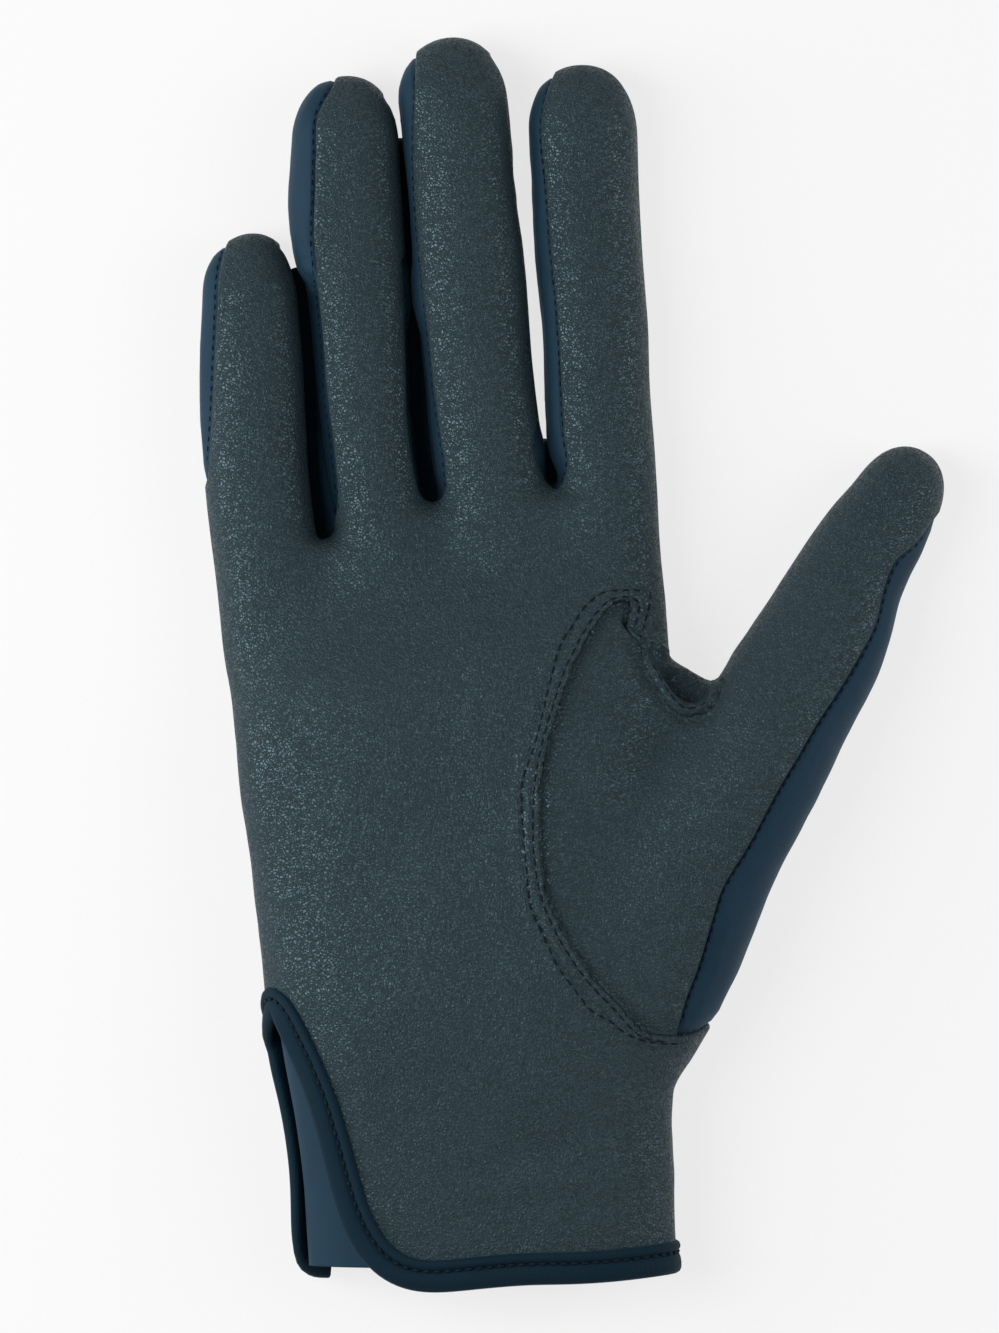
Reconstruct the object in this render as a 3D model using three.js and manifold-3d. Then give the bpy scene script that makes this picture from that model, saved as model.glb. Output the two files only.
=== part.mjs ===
// A right-hand riding glove of leather and navy stretch cloth. It lies on its back, palm up.
// Fingers point along +Y, the thumb towards +X, and the floor is at Z 0. Lengths are in millimetres.
import * as THREE from "three";
import Module from "manifold-3d";
import { mergeVertices } from "three/addons/utils/BufferGeometryUtils.js";

const wasm = await Module();
wasm.setup();

// Leather, cloth and seams
const wall = 1.2;
const seamGap = 0.3;
const floorPress = 1.2; // how far the weight of the glove flattens its back
const frontSeamHeight = 6; // where leather and back cloth meet, round the sides
const backSeamInset = 2.6; // how far the back cloth's own edge stands in from a finger's side

// Palm, hem and vent
const palmWidth = 86;
const palmLength = 150;
const palmThickness = 27;
const knuckleLift = 3.6; // the underside's rise at the end of the palm
const hemRise = 3.4; // the hem's climb towards the thumb side
const hemCover = 5.5; // how far the tape reaches over the leather
const tapeWall = 1;
const ventLength = 55;
const ventReach = 22;
const ventRimHeight = 12;
const ventTuck = 4; // how far the cloth behind the vent goes in behind its neighbours
const underlapRise = 4.2;

// Fingers: these are the middle finger's, and the other fingers' are shares of them
const fingerLength = 87;
const fingerThickness = 17;
const fingerDome = 13.3;
const crotchWidth = 3.6;
const crotchHeight = 5.8;

// Thumb, its seams and its gusset
const thumbLean = 61; // degrees from the hem's direction
const thumbLength = 108;
const thumbWidth = 27;
const thumbThickness = 25;
const thumbTipDome = 11;
const thumbSeamRadiusX = 27.5;
const thumbSeamRadiusY = 42;
const thumbBackRadiusX = 9;
const outerSeamInset = 8;
const quirkWidth = 15;
const quirkDepth = 13;
const webLength = 34;
const webWidth = 19;
const webThickness = 18;
const webDome = 7;

// How fine the forms are
const palmSides = 24;
const fingerSides = 12;
const palmSquareness = 2.5;
const fingerSquareness = 2.3;
const domeFullness = 2.15;
const domeTurns = [0, 32, 58, 80].map(THREE.MathUtils.degToRad);
const slitSteps = 8;
const crotchSteps = 6;
const arcSteps = 12;

// Places, as shares of the sizes that they follow
const hemSpan = { from: -0.4, to: 0.44 }; // of palmWidth
const thumbRoot = { across: 0.378, up: 0.432 }; // of palmWidth and palmLength
const thumbSeam = { across: 0.442, up: 0.607, from: 116, to: 270 }; // of the same, and in degrees
const thumbCrotch = { across: -0.5, along: 0.46 }; // of thumbWidth and thumbLength
const quirkRise = 0.53; // of quirkDepth, above the crotch
const tipSeam = 0.3; // a finger's seams end this share of its dome below the tip
const taperFrom = 0.86; // and close in over the last of their length

const tapeProud = tapeWall + seamGap;
const far = 4 * (palmWidth + thumbLength); // well outside the glove

// Turns a table of bare rows into rows with named columns
function table(columns, rows) {
  const names = columns.split(" ");
  return rows.map((row) => Object.fromEntries(row.map((value, i) => [names[i], value])));
}

// Palm sections from hem to knuckles: along is a share of palmLength, left and right of palmWidth,
// top of palmThickness, and slant says how much of the knuckle line's climb the section takes
const palmRows = table("along left right top slant", [
  [-0.03, -0.405, 0.444, 0.84, 0],
  [0.065, -0.415, 0.426, 0.85, 0],
  [0.141, -0.424, 0.417, 0.87, 0],
  [0.217, -0.444, 0.415, 0.92, 0],
  [0.293, -0.47, 0.435, 0.97, 0],
  [0.369, -0.488, 0.442, 1, 0],
  [0.495, -0.506, 0.433, 1, 0],
  [0.622, -0.535, 0.424, 0.98, 0.1],
  [0.749, -0.563, 0.415, 0.93, 0.35],
  [0.825, -0.579, 0.406, 0.85, 0.6],
  [0.901, -0.597, 0.395, 0.74, 0.85],
  [0.96, -0.608, 0.387, 0.65, 1],
  [0.99, -0.6, 0.38, 0.58, 1],
  [1, -0.59, 0.37, 0.46, 1],
]);

// The knuckle line: across and rise are shares of palmWidth
const knuckleRows = table("across rise", [
  [-0.62, -0.09],
  [-0.36, -0.05],
  [-0.11, 0.015],
  [0.16, 0.05],
  [0.39, 0.055],
]);

// In a finger's rows, along is a share of its length, and left and right are shares of its width, all from
// its root. strip is the share of the width between its left edge and its front seam.
const fingerColumns = "along left right strip";
const littleRows = table(fingerColumns, [
  [-0.35, -0.3, 0.5, 0],
  [0, -0.522, 0.522, 0],
  [0.193, -0.546, 0.475, 0.03],
  [0.375, -0.58, 0.451, 0.11],
  [0.571, -0.58, 0.418, 0.13],
  [0.774, -0.58, 0.356, 0.145],
]);
const ringRows = table(fingerColumns, [
  [-0.25, -0.32, 0.54, 0],
  [0, -0.434, 0.434, 0.05],
  [0.091, -0.516, 0.371, 0.08],
  [0.216, -0.606, 0.317, 0.12],
  [0.35, -0.66, 0.28, 0.13],
  [0.489, -0.724, 0.244, 0.16],
  [0.605, -0.832, 0.208, 0.21],
  [0.716, -0.85, 0.181, 0.22],
  [0.85, -0.815, 0.126, 0.19],
]);
const middleRows = table(fingerColumns, [
  [-0.25, -0.37, 0.63, 0],
  [0, -0.5, 0.5, 0.07],
  [0.16, -0.613, 0.406, 0.13],
  [0.288, -0.656, 0.354, 0.13],
  [0.421, -0.691, 0.302, 0.12],
  [0.64, -0.751, 0.207, 0.11],
  [0.749, -0.795, 0.168, 0.12],
  [0.847, -0.82, 0.134, 0.12],
]);
const indexRows = table(fingerColumns, [
  [-0.25, -0.3, 0.42, 0],
  [0, -0.463, 0.463, 0.07],
  [0.132, -0.565, 0.436, 0.14],
  [0.25, -0.598, 0.399, 0.14],
  [0.392, -0.612, 0.371, 0.11],
  [0.582, -0.667, 0.334, 0.11],
  [0.83, -0.718, 0.273, 0.09],
]);

// across and up place a finger's root. They and width are shares of palmWidth and palmLength, because the
// fingers stand side by side on the palm. seamInset is how far the leather stands in from the finger's right
// side, and crotchDrop how far the crotch there sits below the two roots, both as shares of crotchWidth.
const fingers = table("name across up length width thickness dome seamInset crotchDrop rows", [
  ["little", -0.493, 0.96, 0.6575, 0.2326, 0.912, 0.977, -0.167, 0.444, littleRows],
  ["ring", -0.2256, 0.9827, 0.961, 0.2442, 0.9706, 0.932, 0.222, -0.056, ringRows],
  ["middle", 0.0221, 1.0107, 1, 0.2558, 1, 1, -0.167, -0.333, middleRows],
  ["index", 0.2721, 1.02, 0.9241, 0.2384, 0.9706, 1.03, 0, 0, indexRows],
]).map((row) => ({
  ...row,
  rootX: row.across * palmWidth,
  rootY: row.up * palmLength,
  length: row.length * fingerLength,
  width: row.width * palmWidth,
  thickness: row.thickness * fingerThickness,
  dome: row.dome * fingerDome,
  seamInset: row.seamInset * crotchWidth,
  crotchDrop: row.crotchDrop * crotchWidth,
}));

// The thumb's own rows run along its leaning axis, as shares of thumbLength and thumbWidth.
// seam is the inset of its outer seam, as a share of outerSeamInset, and top a share of thumbThickness.
const thumbRows = table("along left right top seam", [
  [-0.27, -0.2, 0.42, 0.55, 0.3],
  [-0.17, -0.42, 0.555, 0.76, 0.45],
  [0, -0.5, 0.57, 0.9, 0.8],
  [0.1, -0.53, 0.54, 0.98, 0.95],
  [0.21, -0.533, 0.5, 1, 1],
  [0.36, -0.533, 0.485, 0.98, 0.9],
  [0.463, -0.533, 0.474, 0.93, 0.85],
  [0.606, -0.504, 0.452, 0.83, 0.55],
  [0.676, -0.481, 0.385, 0.78, 0.38],
  [0.746, -0.456, 0.304, 0.73, 0.3],
  [0.824, -0.419, 0.274, 0.68, 0.18],
  [0.898, -0.348, 0.235, 0.62, 0.08],
]);

// The palm's edge along the vent, from the top of the loop to the hem: down is a share of ventLength
// and in a share of ventReach, both from the top of the loop. outer is the tape's own edge.
const ventRows = table("down outer leather", [
  [0.04, 0.0, 0.1],
  [0.12, 0.1, 0.26],
  [0.24, 0.2, 0.4],
  [0.37, 0.31, 0.53],
  [0.57, 0.5, 0.73],
  [0.69, 0.6, 0.8],
  [0.8, 0.71, 0.88],
  [0.88, 0.83, 0.99],
  [0.925, 0.93, 1.1],
  [0.96, 1.05, 1.3],
  [0.99, 1.22, 1.4],
]);

// The gusset in the thumb's crotch, from its corner on the index side: across is a share of quirkWidth
// and down a share of quirkDepth
const quirkRows = table("across down", [
  [0, 0],
  [0.43, 0.24],
  [0.92, 0.5],
  [1, 0.63],
  [0.96, 0.75],
  [0.84, 0.91],
  [0.64, 1],
  [0.49, 0.97],
  [0.36, 0.84],
  [0.2, 0.58],
  [0.08, 0.3],
]);

// A point inside the gusset, and the top of the web behind it, in the same shares
const quirkMiddle = { across: 0.66, down: 0.6 };
const webTip = { across: 0.5, down: 0.2 };

// Reads one column of a table at a height, on straight lines between the rows
function lookUp(rows, key, column, at) {
  if (at <= rows[0][key]) return rows[0][column];
  const above = rows.findIndex((row) => row[key] >= at);
  if (above < 0) return rows[rows.length - 1][column];
  const low = rows[above - 1];
  const high = rows[above];
  const share = (at - low[key]) / (high[key] - low[key]);
  return THREE.MathUtils.lerp(low[column], high[column], share);
}

function domeShare(turn) {
  return Math.pow(1 - Math.pow(Math.sin(turn), domeFullness), 1 / domeFullness);
}

// A rounded section with its underside pressed flat, as [across, up] pairs
function section({ left, right, bottom, top, lowest, sides, squareness }) {
  const halfWidth = (right - left) / 2;
  const halfHeight = (top - bottom) / 2;
  const bend = (value) => Math.sign(value) * Math.pow(Math.abs(value), 2 / squareness);
  return Array.from({ length: sides }, (_, i) => {
    const turn = ((i + 0.5) / sides) * 2 * Math.PI;
    const across = (left + right) / 2 + halfWidth * bend(Math.cos(turn));
    const up = (top + bottom) / 2 + halfHeight * bend(Math.sin(turn));
    return [across, Math.max(up, lowest)];
  });
}

function toSolid(geometry) {
  geometry.deleteAttribute("normal");
  geometry.deleteAttribute("uv");
  const welded = mergeVertices(geometry, 1e-4);
  return new wasm.Manifold(
    new wasm.Mesh({
      numProp: 3,
      vertProperties: Float32Array.from(welded.attributes.position.array),
      triVerts: Uint32Array.from(welded.index.array),
    }),
  );
}

// A closed tube through rings of points that all have the same number of points
function loft(rings) {
  const count = rings[0].length;
  const points = rings.flat();
  const index = [];
  rings.slice(1).forEach((_, r) => {
    for (let i = 0; i < count; i += 1) {
      const a = r * count + i;
      const b = r * count + ((i + 1) % count);
      index.push(a, a + count, b, b, a + count, b + count);
    }
  });
  const cap = (ring, flip) => {
    const middle = ring.reduce((sum, p) => sum.add(p), new THREE.Vector3());
    points.push(middle.divideScalar(count));
    const first = rings.indexOf(ring) * count;
    for (let i = 0; i < count; i += 1) {
      const pair = [first + i, first + ((i + 1) % count)];
      if (flip) pair.reverse();
      index.push(points.length - 1, ...pair);
    }
  };
  cap(rings[0], false);
  cap(rings[rings.length - 1], true);
  const geometry = new THREE.BufferGeometry().setFromPoints(points);
  geometry.setIndex(index);
  return toSolid(geometry);
}

function prism(points, bottom, top) {
  const shape = new THREE.Shape(points.map(([x, y]) => new THREE.Vector2(x, y)));
  const geometry = new THREE.ExtrudeGeometry(shape, { depth: top - bottom, bevelEnabled: false });
  geometry.translate(0, 0, bottom);
  return toSolid(geometry);
}

// Moves a closed outline outwards by grow, corner by corner
function grown(points, grow) {
  const clockwise = THREE.ShapeUtils.isClockWise(points.map(([x, y]) => ({ x, y })));
  const outline = clockwise ? [...points].reverse() : points;
  const count = outline.length;
  const normals = outline.map(([x, y], i) => {
    const [nextX, nextY] = outline[(i + 1) % count];
    return new THREE.Vector2(nextY - y, x - nextX).normalize();
  });
  return outline.map(([x, y], i) => {
    const before = normals[(i + count - 1) % count];
    const miter = before.clone().add(normals[i]).normalize();
    const reach = grow / Math.max(miter.dot(before), 0.5);
    return [x + miter.x * reach, y + miter.y * reach];
  });
}

function climbAt(x) {
  return lookUp(knuckleRows, "across", "rise", x / palmWidth) * palmWidth;
}

function palmEdge(side, y) {
  return lookUp(palmRows, "along", side, y / palmLength) * palmWidth;
}

// The palm as a solid, moved in from the outer surface by inset
function palmSolid(inset) {
  const last = palmRows.length - 1;
  const rings = palmRows.map((row, i) => {
    const y = row.along * palmLength - (i >= last - 1 ? inset : 0);
    const points = section({
      left: row.left * palmWidth + inset,
      right: row.right * palmWidth - inset,
      bottom: inset - floorPress + (i === last ? knuckleLift : 0),
      top: row.top * palmThickness - inset,
      lowest: Math.max(inset, 0),
      sides: palmSides,
      squareness: palmSquareness,
    });
    return points.map(([x, z]) => new THREE.Vector3(x, y + row.slant * climbAt(x), z));
  });
  return loft(rings);
}

// A finger's left or right edge at a height, moved in by inset and domed at the tip
function fingerEdge(finger, side, y, inset = 0) {
  const along = (y - finger.rootY) / finger.length;
  const at = (column) => lookUp(finger.rows, "along", column, along) * finger.width + finger.rootX;
  const left = at("left");
  const right = at("right");
  const domeY = finger.rootY + finger.length - finger.dome;
  const turn = Math.asin(THREE.MathUtils.clamp((y - domeY) / finger.dome, 0, 0.999));
  const half = ((right - left) / 2) * domeShare(turn);
  const middle = (left + right) / 2;
  return side === "left" ? middle - half + inset : middle + half - inset;
}

// The rings of a finger, of the thumb or of the web, along its own axis
function tubeRings(tube, inset) {
  const lower = tube.rows.filter((row) => row.along < 1 - tube.dome / tube.length - 0.02);
  const stations = lower.map((row) => ({ along: row.along, turn: 0 }));
  domeTurns.forEach((turn) => {
    const reach = tube.dome - inset;
    stations.push({ along: (tube.length - tube.dome + reach * Math.sin(turn)) / tube.length, turn });
  });
  return stations.map(({ along, turn }) => {
    const at = (column) => lookUp(tube.rows, "along", column, along);
    const share = domeShare(turn);
    const middle = ((at("left") + at("right")) / 2) * tube.width;
    const half = ((at("right") - at("left")) / 2) * tube.width - inset;
    const height = tube.thickness * (tube.rows[0].top ? at("top") : 1);
    const rise = height / 2 - inset;
    const points = section({
      left: middle - half * share,
      right: middle + half * share,
      bottom: height / 2 - (rise + floorPress) * share,
      top: height / 2 + rise * share,
      lowest: Math.max(inset, 0),
      sides: fingerSides,
      squareness: fingerSquareness,
    });
    return points.map(([x, z]) => new THREE.Vector3(x, along * tube.length, z));
  });
}

function fingerSolid(finger, inset) {
  const rings = tubeRings(finger, inset);
  const root = new THREE.Vector3(finger.rootX, finger.rootY, 0);
  return loft(rings.map((ring) => ring.map((point) => point.add(root))));
}

const thumb = {
  rows: thumbRows,
  length: thumbLength,
  width: thumbWidth,
  thickness: thumbThickness,
  dome: thumbTipDome,
};
const web = {
  rows: table("along left right", [[0, -0.5, 0.5]]),
  length: webLength,
  width: webWidth,
  thickness: webThickness,
  dome: webDome,
};

// Turns a point given across and along an axis that leans by degrees
function leant(x, y, z, degrees) {
  const turn = THREE.MathUtils.degToRad(degrees - 90);
  return new THREE.Vector3(x, y, z).applyAxisAngle(new THREE.Vector3(0, 0, 1), turn);
}

function onThumb(across, along, z = 0) {
  const root = new THREE.Vector3(thumbRoot.across * palmWidth, thumbRoot.up * palmLength, 0);
  return leant(across, along, z, thumbLean).add(root);
}

// A point of the gusset, seen from above
function onQuirk(row) {
  const crotch = onThumb(thumbCrotch.across * thumbWidth, thumbCrotch.along * thumbLength);
  return [crotch.x + (row.across - 1) * quirkWidth, crotch.y + (quirkRise - row.down) * quirkDepth];
}

// The web leans half as far as the thumb, and its top lies behind the gusset
function onWeb(across, along, z) {
  const tip = new THREE.Vector3(...onQuirk(webTip), 0);
  return leant(across, along - webLength, z, (thumbLean + 90) / 2).add(tip);
}

function placedTube(tube, inset, place) {
  return loft(tubeRings(tube, inset).map((ring) => ring.map((p) => place(p.x, p.y, p.z))));
}

// The whole glove as one filled form, moved in by inset
function filledGlove(inset) {
  const parts = fingers.map((finger) => fingerSolid(finger, inset));
  parts.push(placedTube(thumb, inset, onThumb));
  parts.push(placedTube(web, inset, onWeb));
  return parts.reduce((sum, part) => sum.add(part), palmSolid(inset));
}

// The palm's mouth stays open: the inner form runs on past the hem
function mouth(inset) {
  const first = palmRows[0];
  const y = first.along * palmLength;
  const ring = (at) =>
    section({
      left: first.left * palmWidth + inset,
      right: first.right * palmWidth - inset,
      bottom: inset - floorPress,
      top: first.top * palmThickness - inset,
      lowest: inset,
      sides: palmSides,
      squareness: palmSquareness,
    }).map(([x, z]) => new THREE.Vector3(x, at, z));
  return loft([ring(y - palmWidth), ring(y + seamGap)]);
}

function hollowGlove(outer, inner) {
  return filledGlove(outer).subtract(filledGlove(inner)).subtract(mouth(inner));
}

function onePiece(solid) {
  const parts = solid.decompose();
  return parts.reduce((best, part) => (part.volume() > best.volume() ? part : best), parts[0]);
}

// The hem line climbs from the vent side to the thumb side
function hemY(x, above = 0) {
  const share = (x / palmWidth - hemSpan.from) / (hemSpan.to - hemSpan.from);
  return hemRise * THREE.MathUtils.clamp(share, 0, 1) + above;
}

function belowHem(above) {
  const left = hemSpan.from * palmWidth;
  const right = hemSpan.to * palmWidth;
  return [
    [-far, -far],
    [far, -far],
    [far, hemY(right, above)],
    [right, hemY(right, above)],
    [left, hemY(left, above)],
    [-far, hemY(left, above)],
  ];
}

// The opening between two fingers, seen from above: its sides are their seams, which stand in from the
// fingers' edges by nearInset and by nextInset at each height, and its foot is a half round at the crotch
function slitOutline(k, nearInset, nextInset) {
  const near = fingers[k];
  const next = fingers[k + 1];
  const footY = (near.rootY + next.rootY) / 2 - near.crotchDrop;
  const footX = (fingerEdge(near, "right", footY) + fingerEdge(next, "left", footY)) / 2;
  const radius = crotchWidth / 2;
  const foot = Array.from({ length: crotchSteps + 1 }, (_, i) => {
    const turn = Math.PI * (1 + i / crotchSteps);
    return [footX + radius * Math.cos(turn), footY + radius + radius * Math.sin(turn)];
  });
  const climb = (finger, side, insetAt) => {
    const start = footY + crotchHeight;
    const end = finger.rootY + finger.length - finger.dome * tipSeam;
    return Array.from({ length: slitSteps + 1 }, (_, i) => {
      const y = THREE.MathUtils.lerp(start, end, i / slitSteps);
      const taper = 1 - THREE.MathUtils.smoothstep(i / slitSteps, taperFrom, 1);
      return [fingerEdge(finger, side, y, insetAt(y) * taper), y];
    });
  };
  const rightSide = climb(next, "left", nextInset);
  const leftSide = climb(near, "right", () => nearInset);
  const [rightX, rightTop] = rightSide[slitSteps];
  const [leftX, leftTop] = leftSide[slitSteps];
  const top = Math.max(rightTop, leftTop) + wall;
  return [...foot, ...rightSide, [rightX - wall, top], [leftX + wall, top], ...leftSide.reverse()];
}

// The width of a finger's front strip of cloth at a height
function stripAt(finger, y) {
  return lookUp(finger.rows, "along", "strip", (y - finger.rootY) / finger.length) * finger.width;
}

function ellipsePoint(radiusX, radiusY, degrees) {
  const turn = THREE.MathUtils.degToRad(degrees);
  const x = thumbSeam.across * palmWidth + radiusX * Math.cos(turn);
  return [x, thumbSeam.up * palmLength + radiusY * Math.sin(turn)];
}


// The oval that the thumb is let into, opened towards the thumb's own side
function thumbOutline(radiusX, corners = []) {
  const oval = Array.from({ length: arcSteps + 1 }, (_, i) =>
    ellipsePoint(radiusX, thumbSeamRadiusY, THREE.MathUtils.lerp(thumbSeam.from, thumbSeam.to, i / arcSteps)),
  );
  const beyond = onThumb(1.5 * thumbCrotch.across * thumbWidth, far / 2);
  return [...oval, [far, oval[arcSteps][1]], [far, beyond.y], [beyond.x, beyond.y], onQuirk(quirkMiddle), ...corners];
}

// Everything on the outer side of the thumb's long seam
function outerSeamOutline() {
  const inner = thumbRows.map((row) => {
    const across = row.right * thumbWidth - row.seam * outerSeamInset;
    const point = onThumb(across, row.along * thumbLength);
    return [point.x, point.y];
  });
  const tip = onThumb(thumbWidth / 2, thumbLength - wall);
  return [...inner, [tip.x, tip.y], [far, tip.y], [far, -far], [inner[0][0], -far]];
}

// Everything on the vent's side of the palm's edge. column picks the tape's edge or the leather's.
function ventOutline(column, shift) {
  const topX = palmEdge("left", ventLength);
  const edge = ventRows.map((row) => [
    topX + row[column] * ventReach + shift,
    ventLength * (1 - row.down),
  ]);
  const foot = edge[edge.length - 1];
  return [[-far, ventLength + shift], [topX + shift, ventLength + shift], ...edge, [foot[0], -far], [-far, -far]];
}

const shell = hollowGlove(0, wall);
const thickShell = hollowGlove(-tapeProud, wall + tapeProud);
const tapeSlot = hollowGlove(-seamGap, wall + seamGap);

function everywhere(bottom, top) {
  return prism([[-far, -far], [far, -far], [far, far], [-far, far]], bottom, top);
}
const aboveSeam = everywhere(frontSeamHeight, far);
const aboveGap = everywhere(frontSeamHeight - seamGap, far);

// The zones of the pieces, each made larger by grow where a neighbour has to stay clear of it
const slits = fingers.slice(1).map((next, k) => {
  const front = slitOutline(k, fingers[k].seamInset, (y) => stripAt(next, y));
  const back = slitOutline(k, backSeamInset, () => backSeamInset);
  return (grow) => {
    const above = prism(grown(front, grow), frontSeamHeight - grow, far);
    return above.add(prism(grown(back, grow), -far, frontSeamHeight));
  };
});
const slitZones = (grow) => slits.map((slit) => slit(grow)).reduce((sum, slit) => sum.add(slit));

// The back cloth also comes round the outer side of the little finger
function littleSide(grow) {
  const [little] = fingers;
  const end = little.rootY + little.length;
  const edge = Array.from({ length: slitSteps + 1 }, (_, i) => {
    const y = THREE.MathUtils.lerp(little.rootY, end - little.dome * tipSeam, i / slitSteps);
    const strip = i < slitSteps ? stripAt(little, y) : 0;
    return [fingerEdge(little, "left", y, i > 0 ? strip : -wall), y];
  });
  const outline = [...edge, [-far, end], [-far, little.rootY]];
  return prism(grown(outline, grow), frontSeamHeight - seamGap, far);
}

// Outside the palm's edge along vent and hem: in the tape's own edge, or in the edge of what it covers
function openSide(column, shift, above) {
  const vent = prism(ventOutline(column, shift), ventRimHeight, far);
  return vent.add(prism(belowHem(above), -far, far));
}
const outsideTape = openSide("outer", 0, 0);
const outsideSlot = openSide("outer", tapeWall, tapeWall);
const outsideLeather = openSide("outer", tapeProud, tapeProud);
const underTape = openSide("leather", 0, hemCover);
const ventSide = (grow) =>
  prism(grown(ventOutline("outer", tapeProud), grow), frontSeamHeight - seamGap, ventRimHeight);

const thumbFrontOutline = thumbOutline(thumbSeamRadiusX, [onQuirk(quirkRows[0])]);
const thumbZone = (grow) => prism(grown(thumbFrontOutline, grow), frontSeamHeight - grow, far);
const thumbBackZone = (grow) => prism(grown(thumbOutline(thumbBackRadiusX), grow), -far, frontSeamHeight);
const outerSide = (grow) => prism(grown(outerSeamOutline(), grow), frontSeamHeight - seamGap, far);
const quirkZone = (grow) => prism(grown(quirkRows.map(onQuirk), grow), frontSeamHeight - seamGap, far);

const sewn = shell.subtract(outsideLeather);
const palm = sewn
  .intersect(aboveSeam)
  .subtract(slitZones(seamGap))
  .subtract(littleSide(seamGap))
  .subtract(thumbZone(seamGap))
  .subtract(quirkZone(seamGap))
  .subtract(ventSide(seamGap));
const back = sewn
  .subtract(aboveGap.subtract(littleSide(0)).subtract(ventSide(0)))
  .subtract(slitZones(seamGap))
  .subtract(thumbBackZone(seamGap));
const thumbFront = shell.intersect(thumbZone(0)).subtract(outerSide(seamGap)).subtract(quirkZone(seamGap));
const thumbSide = prism(thumbFrontOutline, frontSeamHeight - seamGap, far).intersect(outerSide(0));
const thumbUnder = thumbBackZone(0).subtract(aboveGap);
const thumbBack = shell.intersect(thumbSide.add(thumbUnder)).subtract(quirkZone(seamGap));
const quirk = shell.intersect(quirkZone(0));
const hemTape = thickShell.intersect(underTape).subtract(outsideTape).subtract(tapeSlot.subtract(outsideSlot));

// The tape on the back's edge of the vent straddles the rim of the back cloth
const rimTop = ventRimHeight + tapeProud;
const rimZone = prism(grown(ventOutline("outer", 0), -seamGap), rimTop - hemCover, rimTop);
const rimSlot = tapeSlot.intersect(prism(ventOutline("outer", tapeProud), -far, ventRimHeight + seamGap));
const rimTape = thickShell
  .intersect(rimZone)
  .subtract(prism(belowHem(hemCover + seamGap), -far, far))
  .subtract(rimSlot);

// The cloth behind the vent hangs from the palm's tape and tucks in behind the back cloth
const underlapDepth = wall + tapeProud + seamGap;
const underlapZone = prism(grown(ventOutline("leather", 0), ventTuck), ventRimHeight - ventTuck, far);
const underlapEnd = prism([[-far, -far], [far, -far], [far, 0], [-far, 0]], -far, far)
  .translate([0, ventLength - ventTuck, 0]);
const underlap = hollowGlove(underlapDepth, underlapDepth + wall)
  .intersect(underlapZone)
  .intersect(underlapEnd)
  .subtract(prism(belowHem(underlapRise), -far, far));

const leather = new THREE.MeshStandardMaterial({ color: 0x30393d, roughness: 0.55, metalness: 0 });
const navyCloth = new THREE.MeshStandardMaterial({ color: 0x2a3e52, roughness: 0.85, metalness: 0 });
const navyTape = new THREE.MeshStandardMaterial({ color: 0x1e2d3a, roughness: 0.8, metalness: 0 });

function toMesh(name, solid, material) {
  const { vertProperties, triVerts } = onePiece(solid).getMesh();
  const geometry = new THREE.BufferGeometry();
  geometry.setAttribute("position", new THREE.BufferAttribute(new Float32Array(vertProperties), 3));
  geometry.setIndex(new THREE.BufferAttribute(new Uint32Array(triVerts), 1));
  const mesh = new THREE.Mesh(geometry, material);
  mesh.name = name;
  return mesh;
}

const glove = new THREE.Group();
glove.add(toMesh("palm_panel", palm, leather));
glove.add(toMesh("back_panel", back, navyCloth));
fingers.slice(1).forEach((next, k) => {
  const strip = shell.intersect(slits[k](0));
  glove.add(toMesh(`fourchette_${fingers[k].name}_${next.name}`, strip, navyCloth));
});
glove.add(toMesh("thumb_front", thumbFront, leather));
glove.add(toMesh("thumb_back", thumbBack, navyCloth));
glove.add(toMesh("thumb_quirk", quirk, leather));
glove.add(toMesh("hem_binding", hemTape, navyTape));
glove.add(toMesh("vent_binding", rimTape, navyTape));
glove.add(toMesh("vent_underlap", underlap, navyCloth));

// The origin is the middle of the glove's own box, on the floor
const box = new THREE.Box3().setFromObject(glove);
glove.position.set(-(box.min.x + box.max.x) / 2, -(box.min.y + box.max.y) / 2, -box.min.z);

export default glove;
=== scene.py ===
import bpy
import math
import numpy as np
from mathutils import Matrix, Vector, noise
from mathutils.bvhtree import BVHTree
from mathutils.kdtree import KDTree


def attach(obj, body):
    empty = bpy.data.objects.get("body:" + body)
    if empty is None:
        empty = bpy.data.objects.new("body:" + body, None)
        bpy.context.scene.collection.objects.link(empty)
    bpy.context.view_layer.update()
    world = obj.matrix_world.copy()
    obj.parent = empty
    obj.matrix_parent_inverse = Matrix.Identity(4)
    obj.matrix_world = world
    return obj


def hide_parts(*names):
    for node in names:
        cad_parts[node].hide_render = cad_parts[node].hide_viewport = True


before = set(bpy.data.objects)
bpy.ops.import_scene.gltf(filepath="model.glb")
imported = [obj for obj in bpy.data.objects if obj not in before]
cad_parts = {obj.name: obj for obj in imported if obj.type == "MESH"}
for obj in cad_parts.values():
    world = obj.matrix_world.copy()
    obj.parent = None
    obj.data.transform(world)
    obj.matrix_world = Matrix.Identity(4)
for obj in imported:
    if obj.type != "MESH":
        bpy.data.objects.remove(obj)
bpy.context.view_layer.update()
print("frame loaded:", len(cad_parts), "solids")

# Everything is made in millimetres, in the solids' own frame. Outlines are read off the photo, in its
# 999 x 1333 frame, and laid on the floor by onFloor.
photo = {"middleX": 571.2, "middleY": 663.6, "pixel": 0.19}
fineness = 0.95  # how far apart the points of the skin stand


def onFloor(points):
    points = np.asarray(points, float)
    across = (points[:, 0] - photo["middleX"]) * photo["pixel"]
    up = (photo["middleY"] - points[:, 1]) * photo["pixel"]
    return np.column_stack([across, up])


def smoothStep(value):
    share = np.clip(value, 0, 1)
    return share * share * (3 - 2 * share)


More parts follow.
